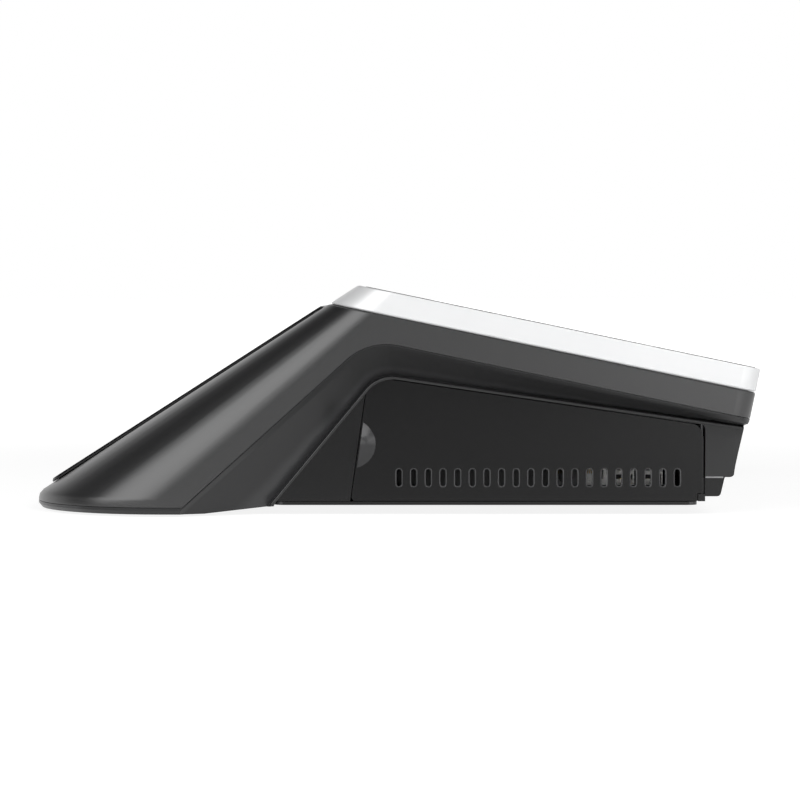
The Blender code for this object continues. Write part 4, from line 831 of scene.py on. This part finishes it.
def add_level_bar(work, at, x, z, depths, size):
    """A bar straight in from the face, from one depth to another; size is its width and height."""
    start, end = depths
    add_bar(work, at(x, start, z), at(x, end, z), *size)


def middle_of(node):
    """The x and height of a node's middle."""
    low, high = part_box(node)
    return (low[0] + high[0]) / 2, (low[2] + high[2]) / 2


def face_place(node, side):
    """Places a point by x, depth in from the socket's outer face, and height."""
    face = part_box(node)[0][1] if side < 0 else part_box(node)[1][1]
    return lambda x, depth, z: (x, face - side * depth, z)


print("socket helpers ready")

# %% [markdown]
# ## Double-decker sockets
# Two wide mouths in one nickel shell, each with a black tongue and four gold contacts on its underside.
# The shell could stay a plain block with dark paint for the mouths, but an open cover shows it from
# close by, so the mouths are real hollows.

# %% Double-decker sockets
DECK_SIDE_WALL = 0.001
DECK_TOP_WALL = 0.0009
DECK_MOUTH_HEIGHT = 0.0057
DECK_MOUTH_DEPTH = 0.0095
DECK_TONGUE = {"depths": (0.0012, 0.0096), "size": (0.0111, 0.0019)}
DECK_CONTACT = {"depths": (0.0018, 0.0096), "size": (0.001, 0.0002)}
TONGUE_UNDER_ROOF = 0.0017
CONTACT_UNDER_TONGUE = 0.00105
DECK_CONTACT_STEPS = (-0.0035, -0.001, 0.001, 0.0035)


def deck_mouths(node):
    """A lower and an upper mouth, corner to corner."""
    low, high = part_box(node)
    left = low[0] + DECK_SIDE_WALL
    right = high[0] - DECK_SIDE_WALL
    lower = low[2] + DECK_TOP_WALL
    upper = high[2] - DECK_TOP_WALL
    return [
        (left, lower, right, lower + DECK_MOUTH_HEIGHT),
        (left, upper - DECK_MOUTH_HEIGHT, right, upper),
    ]


for node in ("near_usb_stack_front", "near_usb_stack_rear"):
    mouths = deck_mouths(node)
    block = socket_block(*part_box(node), mouths, DECK_MOUTH_DEPTH, -1)
    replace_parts(make_piece(f"{node}_shell", block, "port_steel", "port_steel", "terminal", SHELL_EDGE), node)
    at = face_place(node, -1)
    centre = middle_of(node)[0]
    tongues = bmesh.new()
    contacts = bmesh.new()
    for mouth in mouths:
        height = mouth[3] - TONGUE_UNDER_ROOF
        add_level_bar(tongues, at, centre, height, **DECK_TONGUE)
        for step in DECK_CONTACT_STEPS:
            add_level_bar(contacts, at, centre + step, height - CONTACT_UNDER_TONGUE, **DECK_CONTACT)
    make_piece(f"{node}_tongues", tongues, "black_plastic", "port_plastic", "terminal", TONGUE_EDGE)
    make_piece(f"{node}_contacts", contacts, "gold", "port_steel", "terminal", 0)
    print(node, len(mouths), "mouths")

# %% [markdown]
# ## Clip sockets
# The network, drawer and serial sockets take plugs with a spring clip, so each mouth has a step and a
# narrow notch under it for the clip, and a comb of thin contacts that slopes down from the roof. Three
# rectangles stacked on each other give the stepped outline; one drawn outline would need a finer grid.

# %% Clip sockets
CLIP_SOCKETS = {
    "near_lan_port": (-1, 0.0119, 8),
    "near_drawer_port": (-1, 0.0098, 6),
    "far_serial_port_front": (1, 0.0119, 10),
    "far_serial_port_rear": (1, 0.0119, 10),
}
CLIP_NOTCH = (0.0032, 0.0013, 0.0022)
CLIP_STEP = (0.0061, 0.0022, 0.0036)
PLUG_LEVELS = (0.0036, 0.0102)
CLIP_MOUTH_DEPTH = 0.0115
COMB_MARGIN = 0.0032
COMB_START = {"depth": 0.0025, "drop": 0.0004}
COMB_END = {"depth": 0.0112, "drop": 0.0036}
CONTACT_SHARE = 0.45
CONTACT_HEIGHT = 0.0003


def clip_mouths(node, width):
    """The clip's notch, the step over it, and the plug's own mouth."""
    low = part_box(node)[0][2]
    centre = middle_of(node)[0]
    steps = (CLIP_NOTCH, CLIP_STEP, (width, *PLUG_LEVELS))
    return [(centre - w / 2, low + bottom, centre + w / 2, low + top) for w, bottom, top in steps]


for node, (side, width, count) in CLIP_SOCKETS.items():
    mouths = clip_mouths(node, width)
    block = socket_block(*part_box(node), mouths, CLIP_MOUTH_DEPTH, side)
    surface = slots[node]
    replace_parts(make_piece(f"{node}_block", block, surface, surface, "terminal", SHELL_EDGE), node)
    at = face_place(node, side)
    centre = middle_of(node)[0]
    roof = mouths[-1][3]
    comb = bmesh.new()
    pitch = (width - COMB_MARGIN) / (count - 1)
    for i in range(count):
        x = centre + pitch * (i - (count - 1) / 2)
        start, end = (at(x, tip["depth"], roof - tip["drop"]) for tip in (COMB_START, COMB_END))
        add_bar(comb, start, end, pitch * CONTACT_SHARE, CONTACT_HEIGHT)
    make_piece(f"{node}_contacts", comb, "gold", "port_steel", "terminal", 0)
    print(node, count, "contacts")

# %% [markdown]
# ## Lamp windows
# The network socket has two small windows, green and amber, that blink while data passes. They could be
# two coloured faces, but a window is a clear block let into the shell and stands a hair proud of it.

# %% Lamp windows of the network socket
WINDOW = {"depths": (-0.00008, 0.004), "size": (0.0031, 0.0017)}
WINDOW_FROM_SIDE = 0.0031
WINDOW_FROM_TOP = 0.0017
low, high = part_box("near_lan_port")
at = face_place("near_lan_port", -1)
for colour, x in (("green", low[0] + WINDOW_FROM_SIDE), ("amber", high[0] - WINDOW_FROM_SIDE)):
    work = bmesh.new()
    add_level_bar(work, at, x, high[2] - WINDOW_FROM_TOP, **WINDOW)
    make_piece(f"near_lan_port_{colour}_window", work, f"{colour}_light", "lens", "terminal", FINE_EDGE)
print("two lamp windows")

# %% [markdown]
# ## Video socket
# A flat mouth with cut lower corners round a thin tongue. A slanted cut would need a finer outline than
# the block's grid gives, so the cut corners are two steps here, which is how the folded shell looks at
# this size.

# %% Video socket
VIDEO_STEPS = ((0.0118, 0.0011, 0.0018), (0.0131, 0.0018, 0.0026), (0.0141, 0.0026, 0.0057))
VIDEO_MOUTH_DEPTH = 0.0085
VIDEO_TONGUE = {"depths": (0.001, 0.0086), "size": (0.0112, 0.0013)}
VIDEO_CONTACT = {"depths": (0.0016, 0.0086), "size": (0.0005, 0.0002)}
TONGUE_HEIGHT = 0.0036
VIDEO_COLUMNS = 10
VIDEO_PITCH = 0.001
VIDEO_ROWS = (-0.0007, 0.0007)
low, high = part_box("far_video_port")
centre = middle_of("far_video_port")[0]
mouths = []
for width, bottom, top in VIDEO_STEPS:
    mouths.append((centre - width / 2, low[2] + bottom, centre + width / 2, low[2] + top))
block = socket_block(low, high, mouths, VIDEO_MOUTH_DEPTH, 1)
shell = make_piece("far_video_port_shell", block, "port_steel", "port_steel", "terminal", SHELL_EDGE)
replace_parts(shell, "far_video_port")
at = face_place("far_video_port", 1)
tongue = bmesh.new()
comb = bmesh.new()
height = low[2] + TONGUE_HEIGHT
add_level_bar(tongue, at, centre, height, **VIDEO_TONGUE)
for i in range(VIDEO_COLUMNS):
    x = centre + VIDEO_PITCH * (i - (VIDEO_COLUMNS - 1) / 2)
    for lift in VIDEO_ROWS:
        add_level_bar(comb, at, x, height + lift, **VIDEO_CONTACT)
make_piece("far_video_port_tongue", tongue, "black_plastic", "port_plastic", "terminal", FINE_EDGE)
make_piece("far_video_port_contacts", comb, "gold", "port_steel", "terminal", 0)
print("video socket with", VIDEO_COLUMNS * len(VIDEO_ROWS), "contacts")

# %% [markdown]
# ## Power inlet
# A black block with a round hole and a pin in its middle. Square and round meet on its face. A boolean
# would leave long thin faces there, so rings of points go from the hole's circle to the block's outline
# one by one, with a point on each corner.

# %% Power inlet
HOLE_RADIUS = 0.0032
HOLE_MOUTH = 0.0037
HOLE_CHAMFER = 0.0006
HOLE_DEPTH = 0.0095
PIN_PROFILE = ((0.0006, 0.0014), (0.001, 0.0019), (0.001, 0.0096))


def inlet_ring(work, place, half_x, half_z, depth, centre, round_off, count=32):
    """A ring of points: the block's rectangle where round_off is 0, a circle where it is 1."""
    ring = []
    for i in range(count):
        c = math.cos(2 * math.pi * i / count)
        s = math.sin(2 * math.pi * i / count)
        stretch = 1 if round_off else 1 / max(abs(c), abs(s))
        x = centre[0] + half_x * c * stretch
        z = centre[1] + half_z * s * stretch
        ring.append(work.verts.new(place(x, depth, z)))
    return ring


low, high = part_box("near_power_inlet")
centre = middle_of("near_power_inlet")
at = face_place("near_power_inlet", -1)
half_x = (high[0] - low[0]) / 2
half_z = (high[2] - low[2]) / 2
block = bmesh.new()
rings = [
    inlet_ring(block, at, HOLE_RADIUS, HOLE_RADIUS, HOLE_DEPTH, centre, 1),
    inlet_ring(block, at, HOLE_RADIUS, HOLE_RADIUS, HOLE_CHAMFER, centre, 1),
    inlet_ring(block, at, HOLE_MOUTH, HOLE_MOUTH, 0.0, centre, 1),
    inlet_ring(block, at, half_x, half_z, 0.0, centre, 0),
    inlet_ring(block, at, half_x, half_z, high[1] - low[1], centre, 0),
]
add_ring_faces(block, rings)
inlet = make_piece("near_power_inlet_block", block, "black_plastic", "port_plastic", "terminal")
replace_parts(inlet, "near_power_inlet")
pin = bmesh.new()
add_ring_faces(pin, [inlet_ring(pin, at, r, r, depth, centre, 1, 16) for r, depth in PIN_PROFILE])
make_piece("near_power_inlet_pin", pin, "port_steel", "port_steel", "terminal", 0)
print("power inlet, hole", 2000 * HOLE_RADIUS, "mm")

# %% [markdown]
# ## Inside of the covers
# A thin moulded cover would bow, so its inside has ribs: one long one over the vent slots and short
# ones up from it. They show when a cover swings open. They are swept bars again, with a little draft on
# their sides so that they would leave the mould, and they stay inside the rim that the cover closes on.

# %% Cover ribs
COVER_THICKNESS = 0.0022
RIB = millimetres([(-0.6, -0.1), (0.6, -0.1), (0.45, 3.0), (-0.45, 3.0)])
LONG_RIB_HEIGHT = 0.0325
LONG_RIB_ENDS = (-0.004, 0.1755)
SHORT_RIBS = 7
FIRST_RIB = 0.008
RIB_PITCH = 0.0267
RIB_TOP_START = 0.0727
RIB_TOP_FALL = 0.1436


def cover_inside(side):
    """Places a point by its x, its depth in from the cover's inner face, and its height."""
    return lambda x, depth, z: (x, side * (WALL_PLANE - COVER_THICKNESS - depth), z)


def rib_top(x):
    """Height under the cover's sloping top edge that keeps a rib clear of the rim."""
    return RIB_TOP_START - RIB_TOP_FALL * x


for side_name, side in SIDES.items():
    work = bmesh.new()
    sweep(work, [(x, LONG_RIB_HEIGHT) for x in LONG_RIB_ENDS], RIB, cover_inside(side))
    for i in range(SHORT_RIBS):
        x = FIRST_RIB + RIB_PITCH * i
        sweep(work, [(x, LONG_RIB_HEIGHT), (x, rib_top(x))], RIB, cover_inside(side))
    make_piece(f"{side_name}_cover_ribs", work, "cover", "housing", f"{side_name}_cover", 0)
print(1 + SHORT_RIBS, "ribs on each cover")

# %% [markdown]
# ## Base screws
# Six pan-head screws hold the base plate. Seen from below, each head has a cross recess. The head is
# turned as rings of points, and the cross is let into its flat face by filling between the two outlines.
# A boolean would cut the same cross, but leaves thin slivers round the head.

# %% Cross recess
def cross_outline(reach, arm):
    """Twelve points round a cross of the given reach and arm width."""
    quarter = [(reach, -arm), (reach, arm), (arm, arm)]
    points = []
    for turn in range(4):
        c = round(math.cos(turn * math.pi / 2))
        s = round(math.sin(turn * math.pi / 2))
        points += [(x * c - y * s, x * s + y * c) for x, y in quarter]
    return points


def loop_edges(work, loop):
    """The edges round a loop of points, made where they are missing."""
    pairs = zip(loop, [*loop[1:], loop[0]])
    return [work.edges.get(pair) or work.edges.new(pair) for pair in pairs]


print("cross of", len(cross_outline(1, 1)), "points")

# %% Base screws
SCREW_COUNT = 6
HEAD_HEIGHT = 0.0021
RECESS_DEPTH = 0.0012
RECESS_TAPER = 0.8
CROSS_REACH = 0.55
CROSS_ARM = 0.13


def screw_mesh(centre, bottom, top, radius, count=32):
    """A pan head with a cross recess at the bottom and a plain shank above it."""
    work = bmesh.new()
    turns = [2 * math.pi * i / count for i in range(count)]
    dome = ((0.72, 0.0), (0.9, 0.0003), (0.98, 0.0008), (1.0, HEAD_HEIGHT))
    shank = ((0.5, HEAD_HEIGHT), (0.5, top - bottom))
    rings = []
    for share, rise in (*dome, *shank):
        reach = radius * share
        ring = [(centre[0] + reach * math.cos(t), centre[1] + reach * math.sin(t)) for t in turns]
        rings.append([work.verts.new((x, y, bottom + rise)) for x, y in ring])
    add_ring_faces(work, rings, caps=False)
    work.faces.new(rings[-1])
    cross = cross_outline(radius * CROSS_REACH, radius * CROSS_ARM)
    mouth = [work.verts.new((centre[0] + x, centre[1] + y, bottom)) for x, y in cross]
    deep = [(centre[0] + x * RECESS_TAPER, centre[1] + y * RECESS_TAPER) for x, y in cross]
    floor = [work.verts.new((x, y, bottom + RECESS_DEPTH)) for x, y in deep]
    add_ring_faces(work, [mouth, floor], caps=False)
    work.faces.new(floor)
    edges = loop_edges(work, rings[0]) + loop_edges(work, mouth)
    bmesh.ops.triangle_fill(work, use_beauty=True, edges=edges)
    return work


for i in range(1, SCREW_COUNT + 1):
    node = f"base_screw_{i}"
    low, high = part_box(node)
    centre = ((low[0] + high[0]) / 2, (low[1] + high[1]) / 2)
    work = screw_mesh(centre, low[2], high[2], (high[0] - low[0]) / 2)
    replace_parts(make_piece(f"{node}_cross_head", work, slots[node], slots[node], "terminal", 0), node)
print(SCREW_COUNT, "screws, head", round((high[0] - low[0]) * 1000, 1), "mm")
